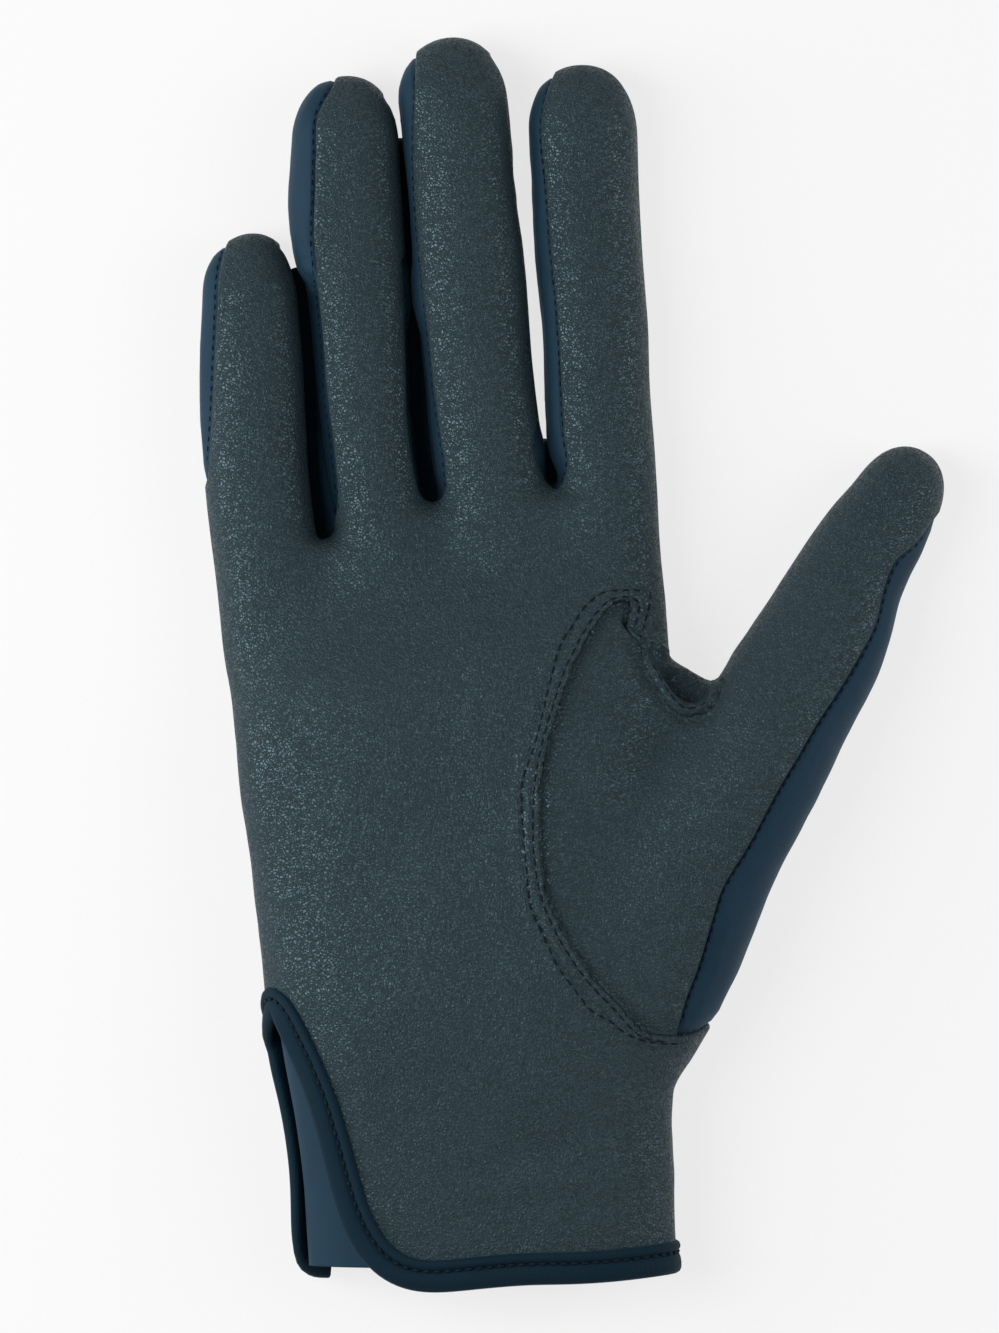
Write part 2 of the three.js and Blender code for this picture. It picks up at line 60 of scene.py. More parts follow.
def curveThrough(keys, values):
    # a soft curve through a few values, sampled finely so that it is quick to read
    keys, values = np.asarray(keys, float), np.asarray(values, float)
    steps = np.diff(keys)
    rises = np.diff(values) / steps
    slopes = np.concatenate([rises[:1], (rises[:-1] * steps[1:] + rises[1:] * steps[:-1])
                             / (steps[:-1] + steps[1:]), rises[-1:]])
    at = np.linspace(keys[0], keys[-1], 600)
    i = np.clip(np.searchsorted(keys, at, side="right") - 1, 0, len(keys) - 2)
    t = (at - keys[i]) / steps[i]
    curve = ((2 * t ** 3 - 3 * t ** 2 + 1) * values[i] + (t ** 3 - 2 * t ** 2 + t) * steps[i] * slopes[i]
             + (3 * t ** 2 - 2 * t ** 3) * values[i + 1] + (t ** 3 - t ** 2) * steps[i] * slopes[i + 1])
    return lambda x: np.interp(x, at, curve)


# The forms: rows run up the piece, each with the photo's height, left and right edge, and the top in mm
palmForm = {
    "squareness": 2.5,
    "rows": [
        (1330, 306, 690, 22.7), (1291, 301, 684, 22.8), (1240, 297, 679, 23.0), (1180, 293, 674, 23.5),
        (1120, 285, 672, 24.8), (1060, 274, 678, 26.2), (1000, 265, 682, 27.0), (900, 255, 679, 27.0),
        (800, 242, 676, 26.5), (700, 229, 672, 24.8), (640, 222, 669, 22.6), (580, 214, 664, 20.0),
        (520, 207, 660, 17.4), (460, 202, 657, 15.5),
    ],
}
fingerForms = {
    "squareness": 2.3,
    "dome": 2.15,
    "little": {"thickness": 15.5, "tip": 232, "dome": 300, "rows": [
        (760, 236, 345), (680, 227, 338), (600, 217, 327), (533, 209, 317.5), (475, 203.5, 311.5),
        (420, 200, 308.5), (361, 200, 305), (300, 200, 300), (260, 201, 298), (236, 205, 300)]},
    "ring": {"thickness": 16.5, "tip": 75, "dome": 140, "rows": [
        (760, 345, 455), (660, 341, 445), (590, 338, 440), (515, 333, 430), (475, 325, 423),
        (420, 315, 417),
        (361, 309, 413), (300, 302, 409), (249, 290, 406.5), (200, 288, 404), (150, 291, 400.5),
        (100, 293, 397)]},
    "middle": {"thickness": 17.0, "tip": 35, "dome": 105, "rows": [
        (760, 455, 572), (570, 447, 565), (493, 436, 552), (475, 431, 549), (420, 423, 541),
        (361, 418, 535),
        (300, 414, 529), (249, 411, 524), (200, 407, 518), (150, 402, 513.5), (110, 399, 510),
        (60, 397, 508)]},
    "index": {"thickness": 16.5, "tip": 63, "dome": 135, "rows": [
        (760, 572, 676), (620, 566, 667), (570, 564, 662), (486, 557, 657), (430, 546, 654),
        (380, 542.5, 650),
        (320, 541, 647), (240, 535, 643), (160, 530, 639), (90, 527, 636)]},
}
fingerNames = ["little", "ring", "middle", "index"]
crotches = onFloor([(323, 533), (433, 500), (556, 486)])
knuckleLine = onFloor([(200, 570), (323, 533), (433, 500), (556, 486), (665, 496)])
joining = {
    "palmToFingers": (34.0, 3.0),  # the palm's form gives way to the fingers' this far below the crotches
    "valley": (5.0, 9.0),  # the valley opens from this far below a crotch, over this length
    "wideBlend": 12.0,
    "tightBlend": 0.8,
    "thumbBlend": (8.0, 1.6), "thumbBlendFrom": (-20.0, 15.0),  # softer at its base than at its crotch
    "webBlend": 3.0,
    "floorBlend": 2.5,
    "press": 1.2,  # the back is flattened by this much where it lies
}
spread = {"gap": 4.0, "start": 3.0, "over": 12.0}  # the fingers are meshed apart and closed again after
thumbForm = {
    "root": (15.94, -54.4), "lean": 61.0, "length": 108.0, "dome": 11.0,
    "rows": [  # along, left, right, top
        (-29, -5.4, 4.5, 13.8), (-18.4, -11.3, 10.8, 19.0), (0, -13.5, 14.9, 22.5),
        (10.8, -14.3, 14.5, 24.5),
        (22.7, -14.4, 13.5, 25.0), (38.9, -14.4, 13.1, 24.5), (50, -14.4, 12.8, 23.2),
        (65.4, -13.6, 12.2, 20.8),
        (73, -13.0, 10.6, 19.5), (80.6, -12.3, 8.4, 18.2), (89, -11.3, 7.8, 17.0), (97, -9.6, 7.3, 15.5),
        (108, -9.2, 7.2, 15.0),
    ],
}
webForm = {"tip": (22.9, -1.6), "lean": 65.0, "length": 34.0, "width": 23.0, "thickness": 18.0, "dome": 6.0}


def tubeCurves(form):
    rows = np.array(form["rows"], float)
    low, high = onFloor(rows[:, [1, 0]]), onFloor(rows[:, [2, 0]])
    tops = rows[:, 3] if rows.shape[1] > 3 else np.full(len(rows), form["thickness"])
    tube = {"left": curveThrough(low[:, 1], low[:, 0]), "right": curveThrough(high[:, 1], high[:, 0]),
            "top": curveThrough(low[:, 1], tops)}
    if "tip" in form:
        ends = onFloor([(0, form["tip"]), (0, form["dome"])])[:, 1]
        tube["domeStart"], tube["dome"] = ends[1], ends[0] - ends[1]
    return tube


palmTube = tubeCurves(palmForm)
fingerTubes = [tubeCurves(fingerForms[name]) for name in fingerNames]
thumbRows = np.array(thumbForm["rows"], float)
thumbTube = {key: curveThrough(thumbRows[:, 0], thumbRows[:, column])
             for key, column in (("left", 1), ("right", 2), ("top", 3))}
thumbTube.update(domeStart=thumbForm["length"] - thumbForm["dome"], dome=thumbForm["dome"])
webTube = {"left": lambda y: np.full_like(y, -webForm["width"] / 2), "domeStart": -webForm["dome"],
           "right": lambda y: np.full_like(y, webForm["width"] / 2), "dome": webForm["dome"],
           "top": lambda y: np.full_like(y, webForm["thickness"])}


def tubeField(tube, x, y, z, squareness):
    left, right, top = tube["left"](y), tube["right"](y), tube["top"](y)
    half, rise = (right - left) / 2, (top + joining["press"]) / 2
    across = np.abs((x - (left + right) / 2) / half)
    up = np.abs((z - (top - joining["press"]) / 2) / rise)
    reach = (across ** squareness + up ** squareness) ** (1 / squareness)
    if "dome" in tube:
        dome = fingerForms["dome"]
        along = np.clip((y - tube["domeStart"]) / tube["dome"], 0, None)
        reach = (reach ** dome + along ** dome) ** (1 / dome)
    return (reach - 1) * np.minimum(half, rise)


# Between two fingers the cloth meets low down: the photo's height where that ends, and its top in mm
valleyForms = [
    {"end": 264, "top": 3.8}, {"end": 131, "top": 3.8}, {"end": 438, "top": 5.0},
]


def valleyField(k, shifts, x, y, z):
    form = valleyForms[k]
    left, right = fingerTubes[k], fingerTubes[k + 1]
    start = (left["left"](y) + left["right"](y)) / 2 + shifts[k]
    stop = (right["left"](y) + right["right"](y)) / 2 + shifts[k + 1]
    end = onFloor([(0, form["end"])])[0][1]
    tube = {"left": lambda y: start, "right": lambda y: stop, "top": lambda y: np.full_like(y, form["top"]),
            "domeStart": end - 12, "dome": 12}
    return tubeField(tube, x, y, z, fingerForms["squareness"])


def softLeast(a, b, blend):
    share = np.clip(0.5 + 0.5 * (b - a) / blend, 0, 1)
    return b + (a - b) * share - blend * share * (1 - share)


def fingerShift(y):
    # how far each finger stands to the left while the skin is meshed
    opened = [smoothStep((y - crotch[1] + spread["start"]) / spread["over"]) for crotch in crotches]
    return [-spread["gap"] * sum(opened[k:], np.zeros_like(y)) for k in range(4)]


def leaning(x, y, origin, lean):
    # coordinates across and along an axis that leans by so many degrees from the hem
    turn = math.radians(lean)
    dx, dy = x - origin[0], y - origin[1]
    return dx * math.sin(turn) - dy * math.cos(turn), dx * math.cos(turn) + dy * math.sin(turn)


def gloveField(x, y, z):
    # below nought inside the glove: the fingers stand apart here
    shifts = fingerShift(y)
    knuckle = np.interp(x, knuckleLine[:, 0], knuckleLine[:, 1])
    start, end = joining["palmToFingers"]
    toFingers = smoothStep((y - knuckle + start) / (start - end))
    tight, wide = joining["tightBlend"], joining["wideBlend"]
    hand = None
    for k, (tube, shift) in enumerate(zip(fingerTubes, shifts)):
        finger = tubeField(tube, x - shift, y, z, fingerForms["squareness"])
        if hand is None:
            hand = finger
            continue
        apart = smoothStep((y - crotches[k - 1][1] + joining["valley"][0]) / joining["valley"][1])
        hand = softLeast(hand, finger, wide + (tight - wide) * apart)
    for k in range(3):
        hand = softLeast(hand, valleyField(k, shifts, x, y, z), 1.2)
    palm = tubeField(palmTube, x, y, z, palmForm["squareness"])
    hand = palm + (hand - palm) * toFingers
    across, along = leaning(x, y, thumbForm["root"], thumbForm["lean"])
    thumb = tubeField(thumbTube, across, along, z, fingerForms["squareness"])
    thumb = np.maximum(thumb, thumbRows[0][0] - along)
    across, along = leaning(x, y, webForm["tip"], webForm["lean"])
    web = tubeField(webTube, across, along, z, fingerForms["squareness"])
    web = np.maximum(web, -webForm["length"] - along)
    base, crotch = joining["thumbBlend"]
    start, over = joining["thumbBlendFrom"]
    whole = softLeast(hand, thumb, base + (crotch - base) * smoothStep((y - start) / over))
    whole = softLeast(whole, web, joining["webBlend"])
    return -softLeast(-whole, z, joining["floorBlend"])


def skinOver(field, low, high, step):
    # a mesh of quads round the field's zero, one point for each cell that the surface passes
    counts = [int(math.ceil((high[i] - low[i]) / step)) + 1 for i in range(3)]
    axes = [low[i] + step * np.arange(counts[i]) for i in range(3)]
    values = np.empty(counts)
    acrossGrid, upGrid = np.meshgrid(axes[0], axes[2], indexing="ij")
    for j, y in enumerate(axes[1]):
        values[:, j, :] = field(acrossGrid, np.full_like(acrossGrid, y), upGrid)
    inside = values < 0
    corners = [(i, j, k) for i in (0, 1) for j in (0, 1) for k in (0, 1)]
    filled = sum(inside[i:counts[0] - 1 + i, j:counts[1] - 1 + j, k:counts[2] - 1 + k].astype(int)
                 for i, j, k in corners)
    cells = np.argwhere((filled > 0) & (filled < 8))
    numbers = -np.ones([count - 1 for count in counts], int)
    numbers[tuple(cells.T)] = np.arange(len(cells))
    total, found = np.zeros((len(cells), 3)), np.zeros((len(cells), 1))
    for a in corners:
        for axis in range(3):
            if a[axis]:
                continue
            b = tuple(1 if i == axis else a[i] for i in range(3))
            first, second = values[tuple((cells + a).T)], values[tuple((cells + b).T)]
            crossed = (first < 0) != (second < 0)
            share = np.where(crossed, first / np.where(crossed, first - second, 1), 0)[:, None]
            total += crossed[:, None] * (np.array(a) + share * (np.array(b) - a))
            found += crossed[:, None]
    points = np.array(low) + step * (cells + total / found)
    quads = []
    for axis in range(3):
        u, v = (axis + 1) % 3, (axis + 2) % 3
        stop = [slice(0, None)] * 3
        later = [slice(0, None)] * 3
        stop[axis], later[axis] = slice(0, -1), slice(1, None)
        first, second = inside[tuple(stop)], inside[tuple(later)]
        spots = np.argwhere(first != second)
        spots = spots[(spots[:, u] > 0) & (spots[:, v] > 0)
                      & (spots[:, u] < counts[u] - 1) & (spots[:, v] < counts[v] - 1)]
        stepU, stepV = np.eye(3, dtype=int)[u], np.eye(3, dtype=int)[v]
        ring = [spots, spots - stepU, spots - stepU - stepV, spots - stepV]
        quad = np.stack([numbers[tuple(spot.T)] for spot in ring], 1)
        outwards = first[tuple(spots.T)]
        quads.append(np.where(outwards[:, None], quad, quad[:, ::-1]))
    quads = np.concatenate(quads)
    quads = quads[(quads >= 0).all(1)]
    for _ in range(3):  # draw the points onto the surface itself
        points -= fieldStep(field, points)
    diagonal = np.linalg.norm(points[quads[:, 0]] - points[quads[:, 2]], axis=1)
    other = np.linalg.norm(points[quads[:, 1]] - points[quads[:, 3]], axis=1)
    straight = (diagonal <= other)[:, None]
    faces = np.concatenate([np.where(straight, quads[:, [0, 1, 2]], quads[:, [0, 1, 3]]),
                            np.where(straight, quads[:, [0, 2, 3]], quads[:, [1, 2, 3]])])
    return points, faces


def fieldStep(field, points, reach=0.05):
    here = field(*points.T)
    slope = np.stack([(field(*(points + reach * side).T) - field(*(points - reach * side).T)) / (2 * reach)
                      for side in np.eye(3)], 1)
    return slope * (here / np.maximum((slope ** 2).sum(1), 0.05))[:, None]


def closeFingers(points):
    # brings the fingers back beside each other
    x, y, z = points.T
    shifts = np.stack(fingerShift(y))
    nearness = np.stack([tubeField(tube, x - shift, y, z, fingerForms["squareness"])
                         for tube, shift in zip(fingerTubes, shifts)])
    softness = 0.5 + 1.8 * smoothStep((8 - z) / 3)  # the cloth low between the fingers closes evenly
    weight = np.exp(-np.clip(nearness - nearness.min(0), 0, 30) / softness)
    x = x - (shifts * weight).sum(0) / weight.sum(0)
    return np.column_stack([x, y, z])


meshBox = ((-86, -130, -3), (74, 122, 31))  # the glove with its fingers apart lies inside this
skinPoints, skinFaces = skinOver(gloveField, *meshBox, fineness)
skinPoints = closeFingers(skinPoints)
print("skin:", len(skinPoints), "points,", len(skinFaces), "faces")


# The outlines of the panels, seen from above
def softLine(points, spacing=1.0):
    # a smooth line through a few points, with a point about every so many millimetres
    points = np.asarray(points, float)
    travelled = np.concatenate([[0], np.cumsum(np.linalg.norm(np.diff(points, axis=0), axis=1))])
    count = max(int(travelled[-1] / spacing), 2)
    at = np.linspace(0, travelled[-1], count + 1)
    return np.column_stack([curveThrough(travelled, points[:, i])(at) for i in (0, 1)])


def fingerEdge(k, side, low, high, inset):
    # the side of a finger as seen from above, moved inwards by inset millimetres
    tube = fingerTubes[k]
    y = np.linspace(low, high, 60)
    middle = (tube["left"](y) + tube["right"](y)) / 2
    half = (tube["right"](y) - tube["left"](y)) / 2
    along = np.clip((y - tube["domeStart"]) / tube["dome"], 0, 1)
    half = half * (1 - along ** fingerForms["dome"]) ** (1 / fingerForms["dome"])
    return np.column_stack([middle + (half - inset) * (1 if side == "right" else -1), y])


seams = {
    "height": 6.0,  # the leather reaches round the sides down to here
    "wrap": 0.25,  # where the leather reaches round a finger its edge stands this far in from the side
    "backInset": 2.6,  # the strips between the fingers show this far on the back
    "littleSide": [(228, 234), (224, 244), (218, 267), (215, 315), (213, 361), (211, 407), (208, 452),
                   (206, 475), (200, 498)],
    "ringLeft": [(335, 72), (332, 82), (316, 115), (314, 153), (313, 191), (312, 249), (314, 269),
                 (321, 338),
                 (325, 395), (332, 452), (335, 510), (331, 531)],
    "ringFoot": [(331, 531), (327, 537), (320, 537), (316.5, 532)],
    "ringRight": [(403, 262), (403, 269), (403.7, 289), (405, 311), (408, 375), (411, 436), (417.5, 477),
                  (420, 488)],
    "middleFoot": [(420, 488), (425, 497), (432, 500.5), (439, 497), (444, 488)],
    "middleLeft": [(444, 488), (442.5, 467), (438, 436), (431.6, 389), (427, 342), (421, 289), (414, 217),
                   (411, 155), (413, 92), (414, 52), (415, 42)],
    "middleRight": [(539.8, 420), (537, 433), (536, 448), (539, 462), (546, 476), (551, 483.5)],
    "indexFoot": [(551, 483.5), (555.5, 486.5), (560, 483)],
    "indexLeft": [(560, 483), (565, 467.5), (562, 436), (558.8, 374), (555, 311), (548.8, 249),
                  (544, 186),
                  (539.4, 124), (540, 116), (552, 74), (557, 62)],
    "oval": [(681, 1035), (645, 1030), (617, 1002), (593, 977), (571, 946), (558, 922), (547, 895),
             (541, 864),
             (539, 820), (541, 780), (549, 740), (561, 700), (571.5, 669.5), (581.7, 649), (590.6, 632.5),
             (602, 616), (611, 606.5), (621, 600.5), (629, 603.5)],
    "tab": [(629, 603.5), (631, 609.5), (628.3, 614), (626.8, 627), (636.5, 641.6), (641.6, 649.3)],
    "quirkRim": [(641.6, 649.3), (643, 660), (651.8, 679.7), (660, 694), (669.7, 706.5), (682.4, 716),
                 (697.8, 715.4), (711.8, 707.8), (718.2, 697.6), (721, 686)],
    "quirkBack": [(653, 655.5), (672, 664.5), (684, 652), (700, 645), (714, 650), (725, 670)],
    "thumbOuter": [(940, 514), (930, 528), (917, 544), (896, 564), (887, 585), (876, 626), (857, 663),
                   (840, 691), (818, 724), (799, 756), (780, 788), (750, 844), (721, 894), (713, 920),
                   (698, 970), (687, 1000), (680, 1030), (679, 1042)],
    "ventAndHem": [(250, 994), (258, 989), (266, 987), (277, 990), (287, 998), (302.5, 1025),
                   (318, 1056), (334, 1094),
                   (345, 1130), (356, 1172), (365, 1203), (378, 1232), (394, 1252), (418, 1262),
                   (440, 1262),
                   (480, 1258), (533, 1254), (566, 1254), (610, 1252), (642, 1249), (679, 1245),
                   (700, 1243)],
    "backHem": 1242,
    "thumbBack": {"centre": (21.43, -28.2), "radiusX": 9.0, "radiusY": 42.0},
}
seamLines = {name: softLine(onFloor(points)) for name, points in seams.items()
             if isinstance(points, list)}


def outlineOf(*parts):
    # one closed outline from lines and from single points of the photo
    rows = [onFloor([part]) if isinstance(part, tuple) else part for part in parts]
    return np.concatenate(rows)


def wrapped(k, lowPixel, highPixel):
    low, high = onFloor([(0, lowPixel), (0, highPixel)])[:, 1]
    return fingerEdge(k, "right", low, high, seams["wrap"])


slitOutlines = [
    outlineOf(seamLines["ringLeft"], seamLines["ringFoot"], wrapped(0, 524, 246), (283, 240), (278, 200),
              (286, 60), (335, 64)),
    outlineOf(wrapped(1, 258, 97), (386, 70), (392, 30), (415, 34), seamLines["middleLeft"][::-1],
              seamLines["middleFoot"][::-1], seamLines["ringRight"][::-1]),
    outlineOf(wrapped(2, 416, 56), (494, 46), (520, 30), (557, 52), seamLines["indexLeft"][::-1],
              seamLines["indexFoot"][::-1], seamLines["middleRight"][::-1]),
]
littleOutline = outlineOf(seamLines["littleSide"], (180, 500), (180, 225), (226, 222))
thumbOutline = outlineOf(seamLines["oval"], seamLines["tab"], (653, 655.5), (672, 664.5), (700, 600),
                         (860, 380), (1010, 400), (1010, 900), (760, 1000), (714, 1024), (699, 1032))
quirkOutline = outlineOf(seamLines["quirkRim"], (725, 670), (714, 650), (690, 640), (672, 664.5),
                         (653, 655.5))
bandOutline = outlineOf(seamLines["thumbOuter"], (720, 1070), (1010, 900), (1010, 480))
mouthOutline = outlineOf(seamLines["ventAndHem"], (760, 1245), (760, 1420), (200, 1420), (200, 986))
backSlit = {"foot": 1.5, "belowTip": 3.5, "pastTip": 6}  # where the strips begin and end on the back
backSlitOutlines = []
for k in range(3):
    foot = crotches[k][1] - backSlit["foot"]
    tips = [fingerTubes[i]["domeStart"] + fingerTubes[i]["dome"] for i in (k, k + 1)]
    leftEdge = fingerEdge(k, "right", foot, tips[0] - backSlit["belowTip"], seams["backInset"])
    rightEdge = fingerEdge(k + 1, "left", foot, tips[1] - backSlit["belowTip"], seams["backInset"])
    top = max(tips) + backSlit["pastTip"]
    left, right = leftEdge[-1], rightEdge[-1]
    outer = [[left[0] + 3, left[1] + backSlit["pastTip"]], [left[0] + 4, top], [right[0] - 3, top]]
    backSlitOutlines.append(np.concatenate([leftEdge, outer, rightEdge[::-1]]))
turns = np.radians(np.linspace(-90, 90, 60))
backOval = seams["thumbBack"]
thumbBackOutline = np.concatenate([
    np.column_stack([backOval["centre"][0] - backOval["radiusX"] * np.cos(turns),
                     backOval["centre"][1] + backOval["radiusY"] * np.sin(turns)]),
    [[90, 40], [90, -72]]])


def outlineDistance(outline, points):
    # how far each point stands outside a closed outline, seen from above: below nought inside it
    margin = 3.0
    low, high = outline.min(0) - margin, outline.max(0) + margin
    close = ((points[:, :2] > low) & (points[:, :2] < high)).all(1)
    x, y = points[close, 0], points[close, 1]
    nearest = np.full(len(x), 1e9)
    inside = np.zeros(len(x), bool)
    for (ax, ay), (bx, by) in zip(outline, np.roll(outline, -1, axis=0)):
        dx, dy = bx - ax, by - ay
        length = dx * dx + dy * dy
        if length < 1e-9:
            continue
        share = np.clip(((x - ax) * dx + (y - ay) * dy) / length, 0, 1)
        gapX, gapY = x - ax - share * dx, y - ay - share * dy
        nearest = np.minimum(nearest, gapX * gapX + gapY * gapY)
        if dy:
            inside ^= ((ay > y) != (by > y)) & (x < ax + (y - ay) * dx / dy)
    distance = np.full(len(points), margin)
    distance[close] = np.sqrt(nearest) * np.where(inside, -1, 1)
    return distance


class Skin:
    # a triangle mesh whose points carry values, and whose faces carry the number of their panel
    def __init__(self, points, faces):
        self.points, self.faces = points, faces
        self.panel = np.zeros(len(faces), int)
        self.values = np.zeros((len(points), 0))

    def centres(self):
        return self.points[self.faces].mean(1)

    def normals(self):
        corners = self.points[self.faces]
        flat = np.cross(corners[:, 1] - corners[:, 0], corners[:, 2] - corners[:, 0])
        total = np.zeros_like(self.points)
        for i in range(3):
            for axis in range(3):
                total[:, axis] += np.bincount(self.faces[:, i], flat[:, axis], len(self.points))
        return total / np.maximum(np.linalg.norm(total, axis=1), 1e-12)[:, None]

    def cut(self, level, where=None, snap=0.14):
        # splits the faces along the line on which level is nought
        level = level.copy()
        count = len(self.points)
        signs = level[self.faces]
        crossing = (signs.min(1) < 0) & (signs.max(1) > 0)
        if where is not None:
            crossing &= where
        chosen = self.faces[crossing]
        if not len(chosen):
            return
        pairs = np.sort(np.concatenate([chosen[:, [0, 1]], chosen[:, [1, 2]], chosen[:, [2, 0]]]), axis=1)
        keys = np.unique(pairs[:, 0] * count + pairs[:, 1])
        a, b = keys // count, keys % count
        for _ in range(2):  # points beside the line are drawn onto it
            across = level[a] * level[b] < 0
            share = np.where(across, level[a] / np.where(across, level[a] - level[b], 1), 0.5)
            for near, far, close in ((a, b, share < snap), (b, a, share > 1 - snap)):
                spot = np.flatnonzero(across & close & (level[a] * level[b] < 0))
                part = share[spot][:, None]
                self.points[near[spot]] = self.points[a[spot]] * (1 - part) + self.points[b[spot]] * part
                level[near[spot]] = 0
        across = level[a] * level[b] < 0
        a, b, keys = a[across], b[across], keys[across]
        if not len(keys):
            return
        share = (level[a] / (level[a] - level[b]))[:, None]
        self.points = np.concatenate([self.points, self.points[a] * (1 - share) + self.points[b] * share])
        self.values = np.concatenate([self.values, self.values[a] * (1 - share) + self.values[b] * share])
        sides = np.stack([np.sort(self.faces[:, [i, (i + 1) % 3]], axis=1) for i in range(3)], 1)
        sideKeys = sides[:, :, 0] * count + sides[:, :, 1]
        spots = np.clip(np.searchsorted(keys, sideKeys), 0, len(keys) - 1)
        middle = np.where(keys[spots] == sideKeys, count + spots, -1)
        split = (middle >= 0).sum(1)
        kept, keptPanel = [self.faces[split == 0]], [self.panel[split == 0]]
        for number in (1, 2, 3):
            rows = np.flatnonzero(split == number)
            if not len(rows):
                continue
            face, mid = self.faces[rows], middle[rows]
            # turned so that the first sides are the split ones
            turn = np.argmax(mid >= 0, axis=1) if number == 1 else (np.argmin(mid >= 0, axis=1) + 1) % 3
            order = (turn[:, None] + np.arange(3)) % 3
            v0, v1, v2 = np.take_along_axis(face, order, 1).T
            m0, m1, m2 = np.take_along_axis(mid, order, 1).T
            if number == 1:
                parts = [(v0, m0, v2), (m0, v1, v2)]
            elif number == 2:
                parts = [(m0, v1, m1), (v0, m0, m1), (v0, m1, v2)]
            else:
                parts = [(v0, m0, m2), (m0, v1, m1), (m2, m1, v2), (m0, m1, m2)]
            kept += [np.column_stack(part) for part in parts]
            keptPanel += [self.panel[rows]] * len(parts)
        self.faces, self.panel = np.concatenate(kept), np.concatenate(keptPanel)

    def keep(self, chosen):
        self.faces, self.panel = self.faces[chosen], self.panel[chosen]
        used, self.faces = np.unique(self.faces, return_inverse=True)
        self.faces = self.faces.reshape(-1, 3)
        self.points, self.values = self.points[used], self.values[used]


glove = Skin(skinPoints, skinFaces)
hemLevel = onFloor([(0, seams["backHem"])])[0][1]
spare = 22  # the skin goes on this far below the back's hem until the mouth is cut
glove.keep(glove.centres()[:, 1] > hemLevel - spare)
glove.cut(glove.points[:, 2] - seams["height"])
ventTurn = {"slope": 0.75, "from": 17.0, "left": -50.0}


def onMouth(points):
    # the vent's edge runs lower down the side of the glove, so that the tape turns there in a loop
    lower = ventTurn["slope"] * np.clip(ventTurn["from"] - points[:, 2], 0, None)
    lower *= smoothStep((ventTurn["left"] - points[:, 0]) / 4)
    return outlineDistance(mouthOutline, points + np.column_stack([lower * 0, lower, lower * 0]))


def isFront():
    return glove.centres()[:, 2] > seams["height"]


for outline in slitOutlines + [littleOutline, thumbOutline, quirkOutline, bandOutline]:
    glove.cut(outlineDistance(outline, glove.points), isFront())
glove.cut(onMouth(glove.points), isFront())
for outline in backSlitOutlines + [thumbBackOutline]:
    glove.cut(outlineDistance(outline, glove.points), ~isFront())
glove.cut(glove.points[:, 1] - hemLevel, ~isFront())

panelNames = ["palm", "back", "littleStrip", "ringStrip", "middleStrip", "thumbFront", "thumbBack", "quirk"]
centres, front = glove.centres(), isFront()


def within(outline):
    return outlineDistance(outline, centres) < 0


glove.panel[:] = 0
glove.panel[~front] = 1
glove.panel[~front & within(thumbBackOutline)] = 6
for k in range(3):
    glove.panel[~front & within(backSlitOutlines[k])] = 2 + k
inThumb, inBand = within(thumbOutline), within(bandOutline)
glove.panel[front & inThumb] = 5
glove.panel[front & inThumb & inBand] = 6
glove.panel[front & within(quirkOutline)] = 7
glove.panel[front & within(littleOutline)] = 1
for k in range(3):
    glove.panel[front & within(slitOutlines[k])] = 2 + k
glove.keep(~((front & (onMouth(centres) < 0)) | (~front & (centres[:, 1] < hemLevel))))
print("panels:", {name: int((glove.panel == i).sum()) for i, name in enumerate(panelNames)})


# Which edges meet where: the kind of a seam follows from the two panels beside it
seamKinds = {
    "joined": {(0, 1), (0, 2), (0, 3), (0, 4), (0, 6), (1, 5), (5, 6), (1, 7), (6, 7)},
    "lapped": {(0, 5), (0, 7), (5, 7)},
    "cloth": {(1, 2), (1, 3), (1, 4), (1, 6), (2, 3), (3, 4)},
}
leatherPanels = {0, 5, 7}
kindNames = list(seamKinds)
edgeHeights = {  # how high the skin stands at so many mm from the seam: nought is the smooth form
    "joinedLeather": [(0, -0.75), (0.3, -0.2), (0.8, 0.07), (1.7, 0.06), (2.6, 0)],
    "joinedCloth": [(0, -0.75), (0.3, -0.66), (0.8, -0.36), (3.2, 0)],
    "lappedOver": [(0, -0.3), (0.14, 0.75), (0.5, 0.9), (1.15, 0.42), (2.2, 0.72), (3.1, 0.16),
                   (4.0, 0.34), (6, 0)],
    "lappedUnder": [(0, -0.3), (0.5, -0.62), (1.4, -0.3), (3.0, 0)],
    "cloth": [(0, -0.4), (0.4, -0.05), (0.9, 0.08), (1.8, 0)],
}
cutLevels = {"joined": (0.3, 0.8, 1.7), "lapped": (0.14, 0.5, 1.15, 2.2, 3.1), "cloth": (0.4,)}


def seamEdges(skin):
    # the edges between two panels, grouped by kind
    sides = np.concatenate([skin.faces[:, [0, 1]], skin.faces[:, [1, 2]], skin.faces[:, [2, 0]]])
    owner = np.tile(skin.panel, 3)
    keys = np.sort(sides, axis=1)
    keys = keys[:, 0] * len(skin.points) + keys[:, 1]
    order = np.argsort(keys, kind="stable")
    keys, owner, sides = keys[order], owner[order], sides[order]
    twin = np.flatnonzero((keys[:-1] == keys[1:]) & (owner[:-1] != owner[1:]))
    low = np.minimum(owner[twin], owner[twin + 1])
    high = np.maximum(owner[twin], owner[twin + 1])
    groups = {}
    for name, pairs in seamKinds.items():
        chosen = np.zeros(len(twin), bool)
        for first, second in pairs:
            chosen |= (low == first) & (high == second)
        groups[name] = sides[twin[chosen]]
    return groups


